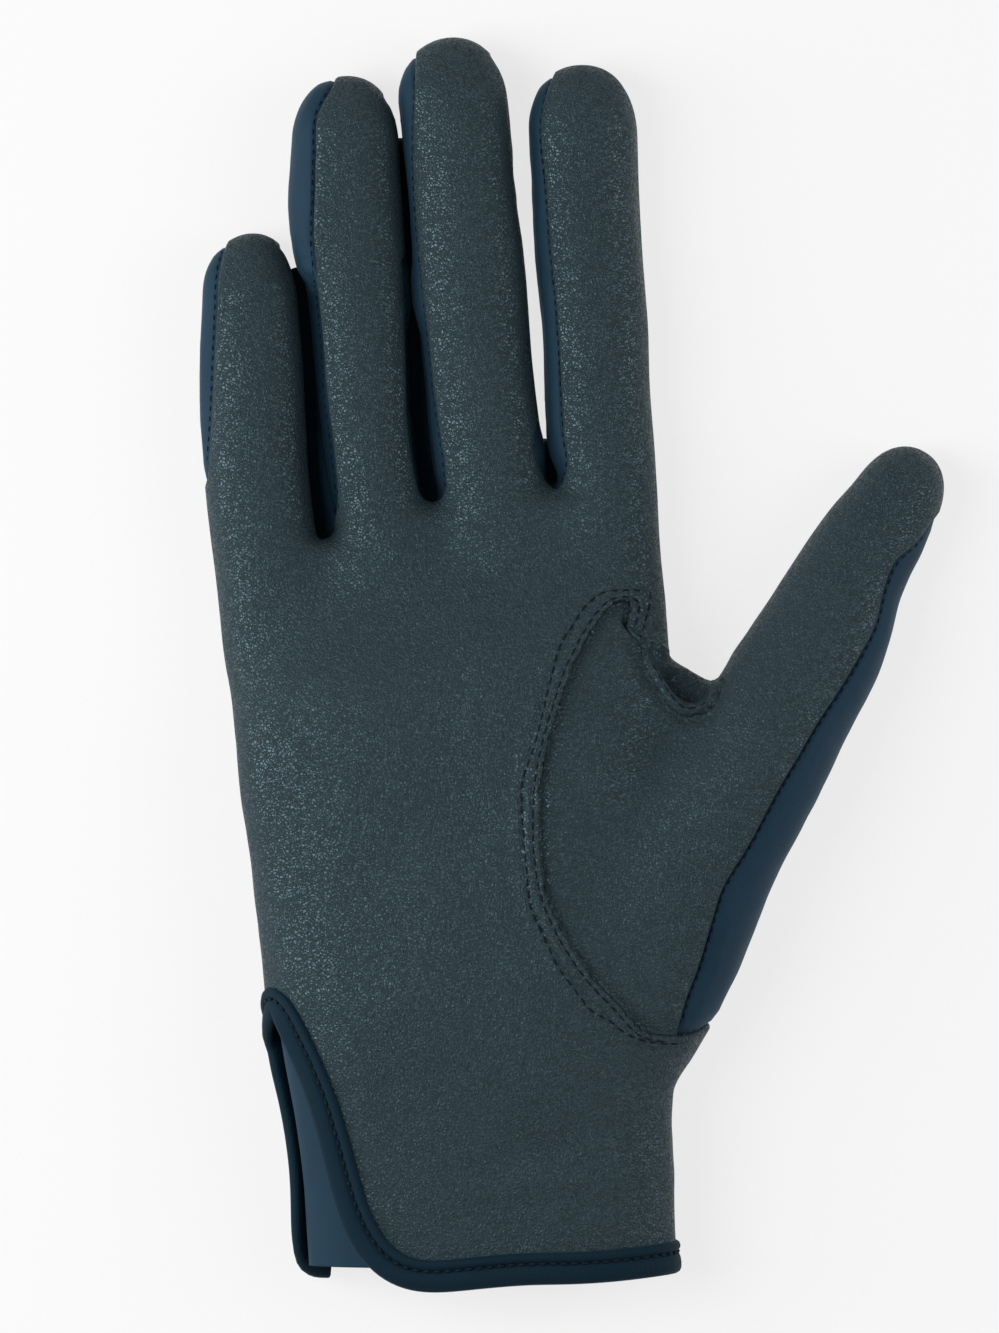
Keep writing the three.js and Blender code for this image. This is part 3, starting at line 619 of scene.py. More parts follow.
def distanceTo(samples, points, far=9.0):
    # the distance from each point to the nearest sample, up to far
    tree = KDTree(len(samples))
    for i, sample in enumerate(samples):
        tree.insert(sample, i)
    tree.balance()
    low, high = samples.min(0) - far, samples.max(0) + far
    near = ((points > low) & (points < high)).all(1)
    found = np.full(len(points), far)
    found[near] = [min(tree.find(point)[2], far) for point in points[near]]
    return found


def samplesAlong(points, edges, spacing=0.12):
    starts, ends = points[edges[:, 0]], points[edges[:, 1]]
    parts = max(int(np.percentile(np.linalg.norm(ends - starts, axis=1), 90) / spacing), 1)
    return np.concatenate([starts + (ends - starts) * i / parts for i in range(parts + 1)])


def seamDistances(skin):
    groups = seamEdges(skin)
    lines = [samplesAlong(skin.points, groups[name]) for name in kindNames]
    return np.stack([distanceTo(line, skin.points) for line in lines], 1)


glove.values = seamDistances(glove)
for column, name in enumerate(kindNames):
    for level in cutLevels[name]:
        glove.cut(glove.values[:, column] - level, snap=0.2)
glove.values = seamDistances(glove)
print("cut along the seams:", len(glove.points), "points,", len(glove.faces), "faces")


# The shape of the sewn skin: seams, folds, creases and soft dents, all pushed along the surface
folds = {  # lines pressed into or raised from the skin: height, half width, and the photo's points
    "thumbTopFold": (0.9, 0.8, [(612, 617), (624, 629), (636.5, 642.7), (641, 650)]),
    "thumbTopDip": (-0.8, 0.9, [(622, 617), (630, 628), (640, 641)]),
    "tabFoldA": (0.85, 0.55, [(645, 624), (655, 642), (668, 660)]),
    "tabFoldB": (0.7, 0.55, [(653, 630), (664, 648), (676, 666)]),
    "tabDip": (-0.55, 0.7, [(648, 622), (658, 640), (671, 662)]),
    "underQuirk": (0.35, 2.6, [(655, 705), (680, 728), (706, 726)]),
    "thumbPadA": (-0.3, 2.2, [(600, 690), (640, 740), (668, 800)]),
    "thumbPadB": (0.3, 2.4, [(577, 730), (606, 790), (640, 850)]),
    "thumbBase": (0.35, 2.4, [(700, 830), (724, 800), (760, 768)]),
    "littleCrease": (-0.35, 1.6, [(216, 300), (245, 306), (285, 298)]),
    "littleBase": (-0.3, 2.6, [(222, 520), (262, 532), (300, 522)]),
    "ringTipA": (-0.28, 0.7, [(294, 243), (306, 248), (318, 243)]),
    "ringTipB": (-0.25, 0.7, [(296, 255), (308, 262), (320, 260)]),
    "ringCrease": (-0.25, 1.8, [(318, 318), (355, 326), (400, 316)]),
    "middleCrease": (-0.25, 1.8, [(424, 300), (470, 309), (524, 300)]),
    "indexCrease": (-0.25, 1.8, [(556, 290), (600, 300), (640, 291)]),
    "indexBase": (0.3, 3.0, [(585, 500), (612, 540), (634, 600)]),
    "wristA": (-0.35, 3.0, [(470, 1165), (560, 1140), (664, 1118)]),
    "wristB": (0.3, 2.6, [(450, 1195), (560, 1178), (668, 1168)]),
    "ventLean": (0.4, 4.5, [(322, 1010), (362, 1100), (392, 1200)]),
}
softness = {
    "palmHollow": (-1.5, (415, 760), (22, 34)),  # depth in mm, middle and reach: the palm sinks a little
    "heel": (0.5, (560, 1080), (15, 12)),
    "wave": 0.4, "waveLength": 20.0,
    "ripple": 0.06, "rippleLength": 4.5,
    "pucker": {"height": 0.24, "spacing": 4.8, "reach": 4.0, "below": -12.0},
    "quirk": {"rim": 1.15, "rimWidth": 1.9, "depth": 4.2},
    # by panel: how deep the strip between two fingers sinks, from which of the photo's heights down, and
    # over how many mm
    "strips": {2: (3.0, 268, 6.0), 3: (1.2, 300, 8.0), 4: (0.6, 452, 6.0)}, "stripsAbove": 5.0,
    "limits": (-0.85, 1.0),  # no seam goes deeper or stands higher
}


def lineDistance(line, points):
    # how far the points lie from an open line, seen from above, and how far along it
    nearest, travelled = np.full(len(points), 1e9), np.zeros(len(points))
    start = 0.0
    for a, b in zip(line[:-1], line[1:]):
        step = b - a
        length = np.linalg.norm(step)
        share = np.clip((points[:, :2] - a) @ step / length ** 2, 0, 1)
        gap = np.linalg.norm(points[:, :2] - a - share[:, None] * step, axis=1)
        closer = gap < nearest
        nearest[closer], travelled[closer] = gap[closer], (start + share * length)[closer]
        start += length
    return nearest, travelled / start


def soften(points, length, seed):
    return np.array([noise.noise(Vector(point) / length + Vector((seed, -seed, 0.5 * seed)))
                     for point in points])


def pressedHeight(skin, normals):
    points = skin.points
    joined, lapped, cloth = skin.values.T
    panel = np.zeros(len(points), int)
    for i in range(3):
        panel[skin.faces[:, i]] = skin.panel
    leather = np.isin(panel, list(leatherPanels))

    def rise(name, distance):
        rows = np.array(edgeHeights[name])
        return np.interp(distance, rows[:, 0], rows[:, 1])

    height = np.where(leather, rise("joinedLeather", joined), rise("joinedCloth", joined))
    up = smoothStep(normals[:, 2] * 1.4)  # nought where the skin faces sideways or down
    overlap = np.where(panel == 0, rise("lappedOver", lapped), rise("lappedUnder", lapped))
    backGap = lineDistance(seamLines["quirkBack"], points)[0]
    height = height + overlap * leather * up * smoothStep((backGap - 0.3) / 2.5)
    height += rise("cloth", cloth) * ~leather
    height = np.clip(height, *softness["limits"])
    for number, (depth, begin, over) in softness["strips"].items():
        lower = smoothStep((onFloor([(0, begin)])[0][1] - points[:, 1]) / over)
        lower *= smoothStep((points[:, 2] - softness["stripsAbove"]) / 3)
        height -= (panel == number) * depth * lower * smoothStep(joined / 1.2)
    for amount, width, line in folds.values():
        gap, along = lineDistance(softLine(onFloor(line)), points)
        ends = smoothStep(along / 0.25) * smoothStep((1 - along) / 0.25)
        height += amount * np.exp(-(gap / width) ** 2) * ends * up
    for name in ("palmHollow", "heel"):
        amount, middle, reach = softness[name]
        gap = (points[:, :2] - onFloor([middle])) / reach
        height += amount * np.exp(-(gap ** 2).sum(1)) * up
    away = smoothStep((np.minimum(joined, lapped) - 0.5) / 3)
    height += softness["wave"] * soften(points, softness["waveLength"], 3.0) * (0.4 + 0.6 * away) * 2
    height += softness["ripple"] * soften(points, softness["rippleLength"], 11.0) * away * 2
    pucker = softness["pucker"]
    gap, along = lineDistance(seamLines["thumbOuter"], points)
    length = np.linalg.norm(np.diff(seamLines["thumbOuter"], axis=0), axis=1).sum()
    waves = np.sin(along * length / pucker["spacing"] * 2 * math.pi + 2.2 * np.sin(along * 19))
    low = 0.25 + 0.75 * smoothStep((pucker["below"] - points[:, 1]) / 25)
    height += pucker["height"] * waves * np.exp(-((gap - 1.5) / pucker["reach"]) ** 2) * (panel == 5) \
        * smoothStep(gap / 1.2) * up * low
    quirk = softness["quirk"]
    gap = lineDistance(seamLines["quirkRim"], points)[0]
    rim = quirk["rim"] * np.sin(np.clip(gap / quirk["rimWidth"], 0, 1) * math.pi) ** 0.7
    hollow = -quirk["depth"] * smoothStep((gap - quirk["rimWidth"] + 0.3) / 2.6)
    fade = smoothStep((backGap - 0.1) / 1.9)
    height += np.where(panel == 7, (rim + hollow) * up * fade, 0)
    return height


normals = glove.normals()
pressed = pressedHeight(glove, normals)
glove.points = glove.points + normals * pressed[:, None]
glove.points[:, 2] = np.maximum(glove.points[:, 2], 0.02)  # nothing dips into the floor
print("seams, folds and dents pressed in")


# Materials. Everything that more than one of them uses is a node group with named sockets.
def newGroup(name, inputs, outputs):
    tree = bpy.data.node_groups.new(name, "ShaderNodeTree")
    for label, kind, default in inputs:
        socket = tree.interface.new_socket(label, in_out="INPUT", socket_type=kind)
        socket.default_value = default
    for label, kind in outputs:
        tree.interface.new_socket(label, in_out="OUTPUT", socket_type=kind)
    return tree, tree.nodes.new("NodeGroupInput"), tree.nodes.new("NodeGroupOutput")


def addNode(tree, kind, settings=None, **sockets):
    node = tree.nodes.new(kind)
    for label, value in (settings or {}).items():
        setattr(node, label, value)
    for label, value in sockets.items():
        put(tree, node, label.replace("_", " "), value)
    return node


def put(tree, node, label, value):
    # a label such as i2 means the socket of that number
    socket = node.inputs[int(label[1:])] if label[0] == "i" and label[1:].isdigit() else node.inputs[label]
    if isinstance(value, bpy.types.NodeSocket):
        tree.links.new(value, socket)
    else:
        socket.default_value = value


def calculate(tree, operation, a, b=0.0, c=0.0):
    node = addNode(tree, "ShaderNodeMath", {"operation": operation}, i0=a, i1=b)
    put(tree, node, "i2", c)
    return node.outputs[0]


def ranged(tree, value, low, high, toLow=0.0, toHigh=1.0):
    node = addNode(tree, "ShaderNodeMapRange", None, Value=value, From_Min=low, From_Max=high,
                   To_Min=toLow, To_Max=toHigh)
    return node.outputs["Result"]


def grainGroup():
    # pebbled leather: rounded cells with fine creases between them, in metres
    tree, given, out = newGroup("leatherGrain", [
        ("Cell Size", "NodeSocketFloat", 0.00075)],
        [("Height", "NodeSocketFloat"), ("Crease", "NodeSocketFloat"), ("Patch", "NodeSocketFloat")])
    where = addNode(tree, "ShaderNodeTexCoord").outputs["Object"]
    drift = addNode(tree, "ShaderNodeTexNoise", None, Vector=where, Scale=850.0, Detail=2.0)
    bent = addNode(tree, "ShaderNodeVectorMath", {"operation": "MULTIPLY_ADD"}, i0=drift.outputs["Color"],
                   i1=(0.0008, 0.0008, 0.0008), i2=where).outputs[0]
    scale = calculate(tree, "DIVIDE", 1.0, given.outputs["Cell Size"])
    edges = addNode(tree, "ShaderNodeTexVoronoi", {"feature": "DISTANCE_TO_EDGE"}, Vector=bent, Scale=scale)
    cells = addNode(tree, "ShaderNodeTexVoronoi", {"feature": "SMOOTH_F1"}, Vector=bent, Scale=scale,
                    Smoothness=0.35)
    crease = ranged(tree, edges.outputs["Distance"], 0.0, 0.16)
    wormScale = calculate(tree, "MULTIPLY", scale, 0.62)
    winding = addNode(tree, "ShaderNodeTexNoise", None, Vector=where, Scale=wormScale, Detail=1.0,
                      Distortion=0.8)
    fromMiddle = calculate(tree, "ABSOLUTE", calculate(tree, "SUBTRACT", winding.outputs["Fac"], 0.5))
    worm = ranged(tree, fromMiddle, 0.01, 0.075)
    crease = calculate(tree, "MULTIPLY", calculate(tree, "MULTIPLY_ADD", crease, 0.7, 0.3), worm)
    fineScale = calculate(tree, "MULTIPLY", scale, 2.7)
    fine = addNode(tree, "ShaderNodeTexNoise", None, Vector=where, Scale=fineScale, Detail=2.0,
                   Roughness=0.6)
    dome = calculate(tree, "SUBTRACT", 1.0, cells.outputs["Distance"])
    height = calculate(tree, "MULTIPLY", crease, 0.75)
    height = calculate(tree, "MULTIPLY_ADD", dome, 0.35, height)
    height = calculate(tree, "MULTIPLY_ADD", fine.outputs["Fac"], 0.16, height)
    patch = addNode(tree, "ShaderNodeTexNoise", None, Vector=where, Scale=46.0, Detail=3.0, Roughness=0.55)
    tree.links.new(height, out.inputs["Height"])
    tree.links.new(crease, out.inputs["Crease"])
    tree.links.new(patch.outputs["Fac"], out.inputs["Patch"])
    return tree


def knitGroup():
    # a fine smooth knit: small wales along the hand, with a little unevenness
    tree, given, out = newGroup("knitWeave", [
        ("Wale Size", "NodeSocketFloat", 0.00034)],
        [("Height", "NodeSocketFloat"), ("Patch", "NodeSocketFloat")])
    where = addNode(tree, "ShaderNodeTexCoord").outputs["Object"]
    split = addNode(tree, "ShaderNodeSeparateXYZ", None, Vector=where)
    pitch = calculate(tree, "DIVIDE", 6.2832, given.outputs["Wale Size"])
    side = calculate(tree, "ADD", split.outputs["X"], split.outputs["Z"])
    across = calculate(tree, "SINE", calculate(tree, "MULTIPLY", side, pitch))
    along = calculate(tree, "SINE", calculate(tree, "MULTIPLY", split.outputs["Y"],
                                              calculate(tree, "MULTIPLY", pitch, 1.25)))
    height = calculate(tree, "MULTIPLY", across, along)
    height = calculate(tree, "MULTIPLY_ADD", across, 0.5, height)
    patch = addNode(tree, "ShaderNodeTexNoise", None, Vector=where, Scale=60.0, Detail=4.0, Roughness=0.6)
    tree.links.new(height, out.inputs["Height"])
    tree.links.new(patch.outputs["Fac"], out.inputs["Patch"])
    return tree


def finished(name, look, group, sizeSocket, creaseShadeTone=0.35):
    # one finish: the group's height makes the relief, its patches vary the colour and the roughness, and
    # its creases darken the colour as painted shade
    material = bpy.data.materials.new(name)
    material.use_nodes = True
    tree = material.node_tree
    shader = tree.nodes["Principled BSDF"]
    pattern = addNode(tree, "ShaderNodeGroup", {"node_tree": group})
    pattern.inputs[sizeSocket].default_value = look["cell"]
    colour = addNode(tree, "ShaderNodeMix", {"data_type": "RGBA"}, Factor=ranged(
        tree, pattern.outputs["Patch"], 0.3, 0.7))
    colour.inputs[6].default_value = (*look["dark"], 1)
    colour.inputs[7].default_value = (*look["light"], 1)
    result = colour.outputs[2]
    if "Crease" in pattern.outputs:
        # painted shade: the base colour is darkened in the grain's creases
        creased = addNode(tree, "ShaderNodeMix", {"data_type": "RGBA"}, Factor=ranged(
            tree, pattern.outputs["Crease"], 0.0, 1.0, look["creaseShade"], 0.0))
        tree.links.new(result, creased.inputs[6])
        creased.inputs[7].default_value = (*[value * creaseShadeTone for value in look["dark"]], 1)
        result = creased.outputs[2]
    tree.links.new(result, shader.inputs["Base Color"])
    rough = ranged(tree, pattern.outputs["Patch"], 0.25, 0.75, *look["roughness"])
    if "Crease" in pattern.outputs:
        creased = ranged(tree, pattern.outputs["Crease"], 0.2, 0.9, 1.0, 0.0)
        rough = addNode(tree, "ShaderNodeMix", None, Factor=creased, A=rough,
                        B=look["creaseRoughness"]).outputs[0]
    tree.links.new(rough, shader.inputs["Roughness"])
    bump = addNode(tree, "ShaderNodeBump", None, Height=pattern.outputs["Height"], Strength=look["relief"],
                   Distance=look[
        "reliefDepth"])
    tree.links.new(bump.outputs["Normal"], shader.inputs["Normal"])
    shader.inputs["Specular IOR Level"].default_value = look["specular"]
    shader.inputs["Specular Tint"].default_value = (*look["gleam"], 1)
    shader.inputs["Sheen Weight"].default_value = look["sheen"]
    shader.inputs["Sheen Roughness"].default_value = look["sheenRoughness"]
    shader.inputs["Sheen Tint"].default_value = (*look["sheenTint"], 1)
    return material


looks = {
    "leather": {
        "dark": (0.0048, 0.0104, 0.0136), "light": (0.0076, 0.0146, 0.0186),
        "reliefDepth": 0.00028, "cell": 0.00061,
        "creaseShade": 0.88, "creaseRoughness": 0.8, "roughness": (0.32, 0.44), "relief": 0.66,
        "specular": 0.5, "gleam": (0.58, 0.88, 1.0), "sheen": 0.0, "sheenRoughness": 0.5,
        "sheenTint": (1, 1, 1),
    },
    "cloth": {
        "dark": (0.0030, 0.0122, 0.0215), "light": (0.0044, 0.0158, 0.0275),
        "reliefDepth": 0.00006, "cell": 0.00036,
        "roughness": (0.6, 0.72), "relief": 0.2, "specular": 0.22, "gleam": (0.45, 0.72, 1.0),
        "sheen": 0.08, "sheenRoughness": 0.45, "sheenTint": (0.35, 0.65, 0.9),
    },
    "tape": {
        "dark": (0.0016, 0.0060, 0.0110), "light": (0.0026, 0.0082, 0.0145),
        "reliefDepth": 0.0001, "cell": 0.0005,
        "roughness": (0.66, 0.78), "relief": 0.4, "specular": 0.16, "gleam": (0.35, 0.75, 1.0),
        "sheen": 0.03, "sheenRoughness": 0.4, "sheenTint": (0.35, 0.65, 0.9),
    },
    "thread": {
        "dark": (0.0016, 0.0036, 0.0062), "light": (0.0026, 0.0052, 0.0085),
        "reliefDepth": 0.00004, "cell": 0.0002,
        "roughness": (0.55, 0.65), "relief": 0.3, "specular": 0.12, "gleam": (0.6, 0.8, 1.0),
        "sheen": 0.0, "sheenRoughness": 0.4, "sheenTint": (0.6, 0.7, 0.85),
    },
}
leatherPattern, clothPattern = grainGroup(), knitGroup()
finishes = {
    "leather": finished("gloveLeather", looks["leather"], leatherPattern, "Cell Size"),
    "cloth": finished("stretchCloth", looks["cloth"], clothPattern, "Wale Size"),
    "tape": finished("bindingTape", looks["tape"], clothPattern, "Wale Size"),
    "thread": finished("sewingThread", looks["thread"], clothPattern, "Wale Size"),
}
print("materials ready")


# Pieces
def addPiece(name, points, faces, nodes, finish):
    mesh = bpy.data.meshes.new(name)
    mesh.from_pydata((np.asarray(points) / 1000).tolist(), [], [tuple(map(int, face)) for face in faces])
    mesh.validate()
    mesh.shade_smooth()
    piece = bpy.data.objects.new(name, mesh)
    bpy.context.scene.collection.objects.link(piece)
    mesh.materials.append(finishes[finish])
    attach(piece, "root")
    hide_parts(*nodes)
    return piece


wall = 1.2
panelPieces = [
    ("palmLeather", 0, "palm_panel", "leather", "leather"),
    ("backCloth", 1, "back_panel", "stretch_cloth", "cloth"),
    ("littleRingStrip", 2, "fourchette_little_ring", "stretch_cloth", "cloth"),
    ("ringMiddleStrip", 3, "fourchette_ring_middle", "stretch_cloth", "cloth"),
    ("middleIndexStrip", 4, "fourchette_middle_index", "stretch_cloth", "cloth"),
    ("thumbLeather", 5, "thumb_front", "leather", "leather"),
    ("thumbCloth", 6, "thumb_back", "stretch_cloth", "cloth"),
    ("quirkLeather", 7, "thumb_quirk", "leather", "leather"),
]
for name, number, node, slot, finish in panelPieces:
    used, faces = np.unique(glove.faces[glove.panel == number], return_inverse=True)
    piece = addPiece(name, glove.points[used], faces.reshape(-1, 3), [node], finish)
    thick = piece.modifiers.new("wall", "SOLIDIFY")
    thick.thickness = wall / 1000
    thick.offset = -1
    thick.use_rim = True
print("panels made")


# The tape round the wrist: it runs on from the hem up the leather's edge, over the top of the vent and
# down the cloth's edge
tape = {
    "section": [  # outwards from the leather's edge, and out of its face, in mm
        (-0.75, -0.1), (-0.7, 0.55), (-0.35, 0.95), (0.2, 1.1), (0.75, 0.98), (1.1, 0.6), (1.3, 0.3),
        (1.5, 0.3), (1.75, 0.62), (2.5, 0.86), (3.5, 0.9), (4.5, 0.78), (5.15, 0.42), (5.45, -0.2),
        (5.3, -0.95), (4.8, -1.4), (3.5, -1.65), (1.5, -1.7), (0.0, -1.7), (-0.6, -1.45)],
    "step": 0.9,
    "upright": 0.45, "uprightFrom": -59.0,  # beside the vent the tape leans out less than the cloth
    "ventBelow": 9.5,  # the vent's lower edge lies below this height
    "ease": 2.5,  # how far the path is smoothed
}


def rimPath(skin):
    # the open edge of the glove, in order, with the surface's direction at each point
    sides = np.concatenate([skin.faces[:, [0, 1]], skin.faces[:, [1, 2]], skin.faces[:, [2, 0]]])
    count = len(skin.points)
    keys = sides[:, 0] * count + sides[:, 1]
    back = sides[:, 1] * count + sides[:, 0]
    follow = dict(sides[~np.isin(keys, back)].tolist())
    longest = []
    while follow:
        start = next(iter(follow))
        ring = [start]
        step = follow.pop(start)
        while step != start and step in follow:
            ring.append(step)
            step = follow.pop(step)
        longest = max(longest, ring, key=len)
    return np.array(longest)


def eased(rows, reach):
    # smooths a closed list of rows over so many of its steps
    window = np.exp(-(np.arange(-3 * int(reach + 1), 3 * int(reach + 1) + 1) / reach) ** 2 / 2)
    window /= window.sum()
    half = len(window) // 2
    padded = np.concatenate([rows[-half:], rows, rows[:half]])
    return np.stack([np.convolve(padded[:, i], window, "valid") for i in range(rows.shape[1])], 1)


def unit(rows):
    return rows / np.maximum(np.linalg.norm(rows, axis=1), 1e-9)[:, None]


ring = rimPath(glove)
ringPoints, ringNormals = glove.points[ring], glove.normals()[ring]
stepsRound = np.linalg.norm(np.roll(ringPoints, -1, axis=0) - ringPoints, axis=1)
travelled = np.concatenate([[0], np.cumsum(stepsRound)])
at = np.arange(0, travelled[-1], tape["step"])


def alongRing(rows):
    closed = np.concatenate([rows, rows[:1]])
    return np.stack([np.interp(at, travelled, closed[:, i]) for i in range(3)], 1)


rimPoints = eased(alongRing(ringPoints), tape["ease"] / tape["step"])
rimFacing = unit(eased(alongRing(ringNormals), 2 * tape["ease"] / tape["step"]))
rimForward = unit(np.roll(rimPoints, -1, axis=0) - np.roll(rimPoints, 1, axis=0))
onVentSide = (rimPoints[:, 0] < -45) & (rimPoints[:, 2] < tape["ventBelow"])
upright = tape["upright"] * onVentSide * smoothStep((tape["uprightFrom"] - rimPoints[:, 1]) / 34)
upright = eased(upright[:, None], 6)
rimFacing = unit(rimFacing * (1 - upright) + np.array([-1, 0, 0.12]) * upright)
rimOut = unit(np.cross(rimForward, rimFacing))
rimFacing = np.cross(rimOut, rimForward)
print("rim:", len(rimPoints), "steps,", round(float(travelled[-1])), "mm round")


# where the path turns sharply towards the tape's outer side the tape is drawn narrower
bend = (np.roll(rimForward, -1, axis=0) - np.roll(rimForward, 1, axis=0)) / (2 * tape["step"])
turning = np.clip((bend * rimOut).sum(1), 1e-3, None)
tapeReach = max(across for across, out in tape["section"])
narrowing = eased(np.clip(0.85 / (turning * tapeReach), 0.4, 1)[:, None], 4)[:, 0]


def swept(indices):
    section = np.array(tape["section"])
    rings = []
    for i in indices:
        across = np.where(section[:, :1] > 1, 1 + (section[:, :1] - 1) * narrowing[i], section[:, :1])
        rings.append(rimPoints[i] + across * rimOut[i] + section[:, 1:] * rimFacing[i])
    size = len(section)
    faces = []
    for i in range(len(rings) - 1):
        a, b = i * size, (i + 1) * size
        for j in range(size):
            k = (j + 1) % size
            faces.append((a + j, b + j, b + k, a + k))
    faces.append(tuple(range(size)))
    faces.append(tuple((len(rings) - 1) * size + j for j in range(size))[::-1])
    return np.concatenate(rings), faces


loopTop = onFloor([(268, 986)])[0]
cornerEnd = onFloor([(328, 1262)])[0]
ventDrop = {"by": 2.1, "over": 7.0}  # the vent's tape ends in a square cut a little below the hem's
onVentEdge = (rimPoints[:, 0] < cornerEnd[0]) & (rimPoints[:, 1] < loopTop[1] - 1.5)
onVentEdge &= rimPoints[:, 2] < tape["ventBelow"]
first = int(np.flatnonzero(onVentEdge & ~np.roll(onVentEdge, 1))[0])
turned = np.roll(np.arange(len(rimPoints)), -first)
ventCount = int(onVentEdge.sum())
ventPart = turned[:ventCount + 1]
hemPart = np.append(turned[ventCount:], turned[0])
for name, part, node in (("ventTape", ventPart, "vent_binding"), ("hemTape", hemPart, "hem_binding")):
    points, faces = swept(part)
    if name == "ventTape":
        points[:, 1] -= ventDrop["by"] * smoothStep((hemLevel + 4 - points[:, 1]) / ventDrop["over"])
    addPiece(name, points, faces, [node], "tape")
print("tapes made")

# The cloth under the vent: the glove's own form, drawn inwards
underlap = {"depth": 1.9, "reach": 5.0, "wall": 1.0, "low": 2.5, "top": 1003, "hem": 1267}
lowY, highY = onFloor([(0, underlap["hem"]), (0, underlap["top"])])[:, 1]
pocket = Skin(skinPoints.copy(), skinFaces.copy())
pocket.keep((pocket.centres()[:, 1] < highY + 8) & (pocket.centres()[:, 1] > lowY - 8))
leatherEdge = seamLines["ventAndHem"]
underOutline = np.concatenate([leatherEdge[(leatherEdge[:, 0] < -30)] + (underlap["reach"], 0),
                               [[-30, lowY - 12], [-95, lowY - 12], [-95, highY]]])
pocket.cut(outlineDistance(underOutline, pocket.points))
pocket.cut(pocket.points[:, 2] - underlap["low"])
pocket.cut(pocket.points[:, 1] - lowY)
pocket.cut(pocket.points[:, 1] - highY)
middle = pocket.centres()
pocket.keep((outlineDistance(underOutline, middle) < 0) & (middle[:, 2] > underlap["low"])
            & (middle[:, 1] > lowY) & (middle[:, 1] < highY))
pocket.points -= underlap["depth"] * pocket.normals()
piece = addPiece("ventUnderlap", pocket.points, pocket.faces, ["vent_underlap"], "cloth")
thick = piece.modifiers.new("wall", "SOLIDIFY")
thick.thickness = underlap["wall"] / 1000
thick.offset = -1

# Stitches: short rounded dashes laid on the surface
stitch = {"length": 1.5, "gap": 0.8, "radius": 0.23, "sink": 0.02, "sides": 6,
          "fine": (0.7, 1.1, 0.75)}  # shares of length, gap and radius beside the fingers and the thumb
tapeStitch = {"length": 1.2, "gap": 0.8, "radius": 0.42, "across": 1.4, "out": 0.5}
bakedSkin = BVHTree.FromPolygons(glove.points.tolist(), glove.faces.tolist())


def dash(start, end, radius):
    # a rounded thread between two points
    axis = end - start
    length = np.linalg.norm(axis)
    axis = axis / length
    side = np.cross(axis, (0.3, 0.2, 1.0))
    side /= np.linalg.norm(side)
    up = np.cross(axis, side)
    angles = np.linspace(0, 2 * math.pi, stitch["sides"], endpoint=False)
    points = []
    for share, width in ((0, 0.35), (0.12, 0.85), (0.5, 1.0), (0.88, 0.85), (1, 0.35)):
        centre = start + axis * length * share
        points += [centre + radius * width * (math.cos(a) * side + math.sin(a) * up) for a in angles]
    count = stitch["sides"]
    faces = []
    for first in range(0, 4 * count, count):
        for j in range(count):
            k = (j + 1) % count
            faces.append((first + j, first + k, first + count + k, first + count + j))
    faces += [tuple(range(count))[::-1], tuple(4 * count + j for j in range(count))]
    return points, faces


def sewAlong(path, length, gap, radius, wander=0.06):
    # stitches along a path of points in space, with a slight unevenness
    steps = np.linalg.norm(np.diff(path, axis=0), axis=1)
    travelled = np.concatenate([[0], np.cumsum(steps)])
    points, faces = [], []
    position = 0.3
    number = 0
    while position + length < travelled[-1]:
        wobble = wander * math.sin(number * 2.399)
        ends = [np.array([np.interp(position + share * length, travelled, path[:, i]) for i in range(3)])
                for share in (0, 1)]
        ends[0][0] += wobble
        ends[1][1] += wobble * 0.5
        dashPoints, dashFaces = dash(ends[0], ends[1], radius)
        faces += [tuple(len(points) + i for i in face) for face in dashFaces]
        points += dashPoints
        position += length + gap
        number += 1
    return points, faces


def laidOn(line, lift):
    # a line seen from above, dropped onto the glove
    rows = []
    for x, y in line:
        hit, normal = bakedSkin.ray_cast(Vector((x, y, 60)), Vector((0, 0, -1)))[:2]
        if hit is not None:
            rows.append(np.array(hit) + np.array(normal) * lift)
    return np.array(rows)


def besideLine(line, offset):
    forward = unit(np.gradient(line, axis=0))
    return line + offset * np.column_stack([forward[:, 1], -forward[:, 0]])


ovalOuter = onFloor([(679, 1043), (660, 1042), (639, 1038), (626, 1032), (609, 1019), (591, 1009),
                     (576, 990),
                     (556, 962), (543, 934), (530, 905), (527, 874), (523, 830), (523, 777), (533, 750),
                     (548, 690), (563, 640), (572, 626), (580, 613.6), (587.4, 603.8), (595.7, 597.4),
                     (604, 592.3),
                     (621, 590.4), (641.6, 589.8), (648.6, 588.5)])
ovalInner = besideLine(seamLines["oval"][3:-3], -1.15)
tabRows = [
    onFloor([(650, 590), (650.5, 597), (649.3, 608.3), (646.7, 617), (643.5, 626), (640.4, 638.9)]),
    onFloor([(608.5, 600.6), (619, 597.5), (630, 597.5), (638, 600), (639.5, 607), (638.4, 614.6),
             (635.3, 626)]),
]
stitchRows = {  # each piece's lines, and how far beside them the stitches run
    "palmStitches": ("palm_panel", [
        (ovalOuter, 0), (ovalInner, 0), (tabRows[0], 0), (tabRows[1], 0),
        (seamLines["ringLeft"][4:-2], 0.2), (seamLines["ringRight"], -0.2),
        (seamLines["middleLeft"][:-6], 0.2), (seamLines["indexLeft"][:-3], 0.2),
        (seamLines["littleSide"][2:-6], 0.2)]),
    "thumbStitches": ("thumb_front", [(seamLines["thumbOuter"][5:-4], -0.2)]),
    "quirkStitches": ("thumb_quirk", [(seamLines["quirkRim"][3:-3], -1.55)]),
}
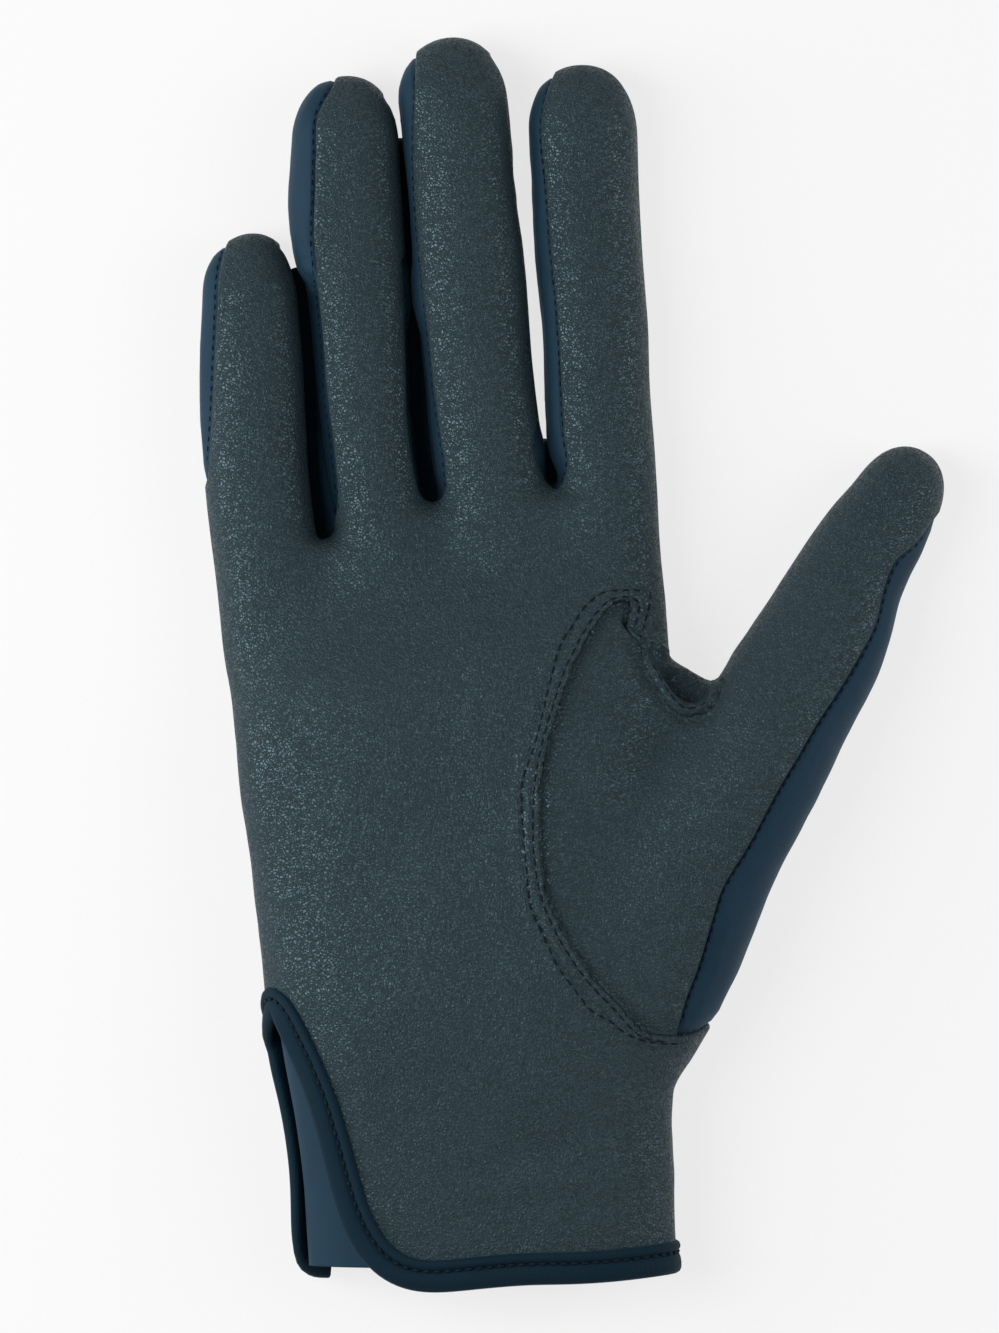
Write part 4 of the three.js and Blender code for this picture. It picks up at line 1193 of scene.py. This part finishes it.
for name, (node, lines) in stitchRows.items():
    points, faces = [], []
    for line, offset in lines:
        smooth = softLine(line, 0.5)
        path = laidOn(besideLine(smooth, offset) if offset else smooth, -stitch["sink"])
        longer, wider, thicker = stitch["fine"] if offset and name != "quirkStitches" else (1, 1, 1)
        dashPoints, dashFaces = sewAlong(path, stitch["length"] * longer, stitch["gap"] * wider,
                                         stitch["radius"] * thicker)
        faces += [tuple(len(points) + i for i in face) for face in dashFaces]
        points += dashPoints
    addPiece(name, points, faces, [node], "thread")
for name, part, node in (("ventTapeStitches", ventPart, "vent_binding"),
                         ("hemTapeStitches", hemPart, "hem_binding")):
    path = rimPoints[part] + tapeStitch["across"] * rimOut[part] + tapeStitch["out"] * rimFacing[part]
    points, faces = sewAlong(path, tapeStitch["length"], tapeStitch["gap"], tapeStitch["radius"], 0.0)
    addPiece(name, points, faces, [node], "thread")
print("stitches laid")

# Stage: a pale floor, two wide soft lights and a soft sky
sceneSettings = {
    "floor": (0.12, 0.12, 0.12), "floorGlow": 0.75, "floorHalf": 6.0,
    "camera": (-13.6, -0.55), "distance": 2000, "field": 253.3,  # field: what the picture's height takes in
    # how bright the room is overhead and near the floor, and between which heights it changes
    "sky": {"above": 0.12, "around": 0.8, "from": (0.35, 0.82)},
    "aim": (-13, 0, 10),
    "lights": [  # x, y, z, width, length, watts
        ("leftSoftbox", -540, 40, 430, 380, 900, 9.6),
        ("rightSoftbox", 660, 60, 360, 380, 900, 4.5),
    ],
}
floorMesh = bpy.data.meshes.new("floor")
half = sceneSettings["floorHalf"]
floorMesh.from_pydata([(-half, -half, 0), (half, -half, 0), (half, half, 0), (-half, half, 0)], [],
                      [(0, 1, 2, 3)])
floor = bpy.data.objects.new("floor", floorMesh)
bpy.context.scene.collection.objects.link(floor)
paper = bpy.data.materials.new("paleFloor")
paper.use_nodes = True
for label, value in (("Base Color", (*sceneSettings["floor"], 1)), ("Emission Color", (1, 1, 1, 1)),
                     ("Emission Strength", sceneSettings["floorGlow"]), ("Roughness", 0.9),
                     ("Specular IOR Level", 0.1)):
    paper.node_tree.nodes["Principled BSDF"].inputs[label].default_value = value
floorMesh.materials.append(paper)
for name, x, y, z, width, length, watts in sceneSettings["lights"]:
    lamp = bpy.data.lights.new(name, "AREA")
    lamp.shape = "RECTANGLE"
    lamp.size, lamp.size_y = width / 1000, length / 1000
    lamp.energy = watts
    light = bpy.data.objects.new(name, lamp)
    light.location = Vector((x, y, z)) / 1000
    towards = Vector(sceneSettings["aim"]) - Vector((x, y, z))
    light.rotation_euler = towards.to_track_quat("-Z", "Y").to_euler()
    bpy.context.scene.collection.objects.link(light)
world = bpy.data.worlds.new("studio")
bpy.context.scene.world = world
world.use_nodes = True
sky = world.node_tree
direction = addNode(sky, "ShaderNodeTexCoord").outputs["Generated"]
height = addNode(sky, "ShaderNodeSeparateXYZ", None, Vector=direction)
brightness = sceneSettings["sky"]
strength = ranged(sky, height.outputs["Z"], *brightness["from"], brightness["around"], brightness["above"])
sky.links.new(strength, sky.nodes["Background"].inputs["Strength"])
sky.nodes["Background"].inputs["Color"].default_value = (1, 1, 1, 1)
lens = bpy.data.cameras.new("camera")
lens.sensor_fit = "VERTICAL"
lens.sensor_height = 24
lens.lens = lens.sensor_height * (sceneSettings["distance"] - 15) / sceneSettings["field"]
lens.clip_start, lens.clip_end = 0.05, 20
camera = bpy.data.objects.new("camera", lens)
camera.location = (sceneSettings["camera"][0] / 1000, sceneSettings["camera"][1] / 1000,
                   sceneSettings["distance"] / 1000)
bpy.context.scene.collection.objects.link(camera)
bpy.context.scene.camera = camera
bpy.context.scene.view_settings.view_transform = "Standard"
print("stage set")
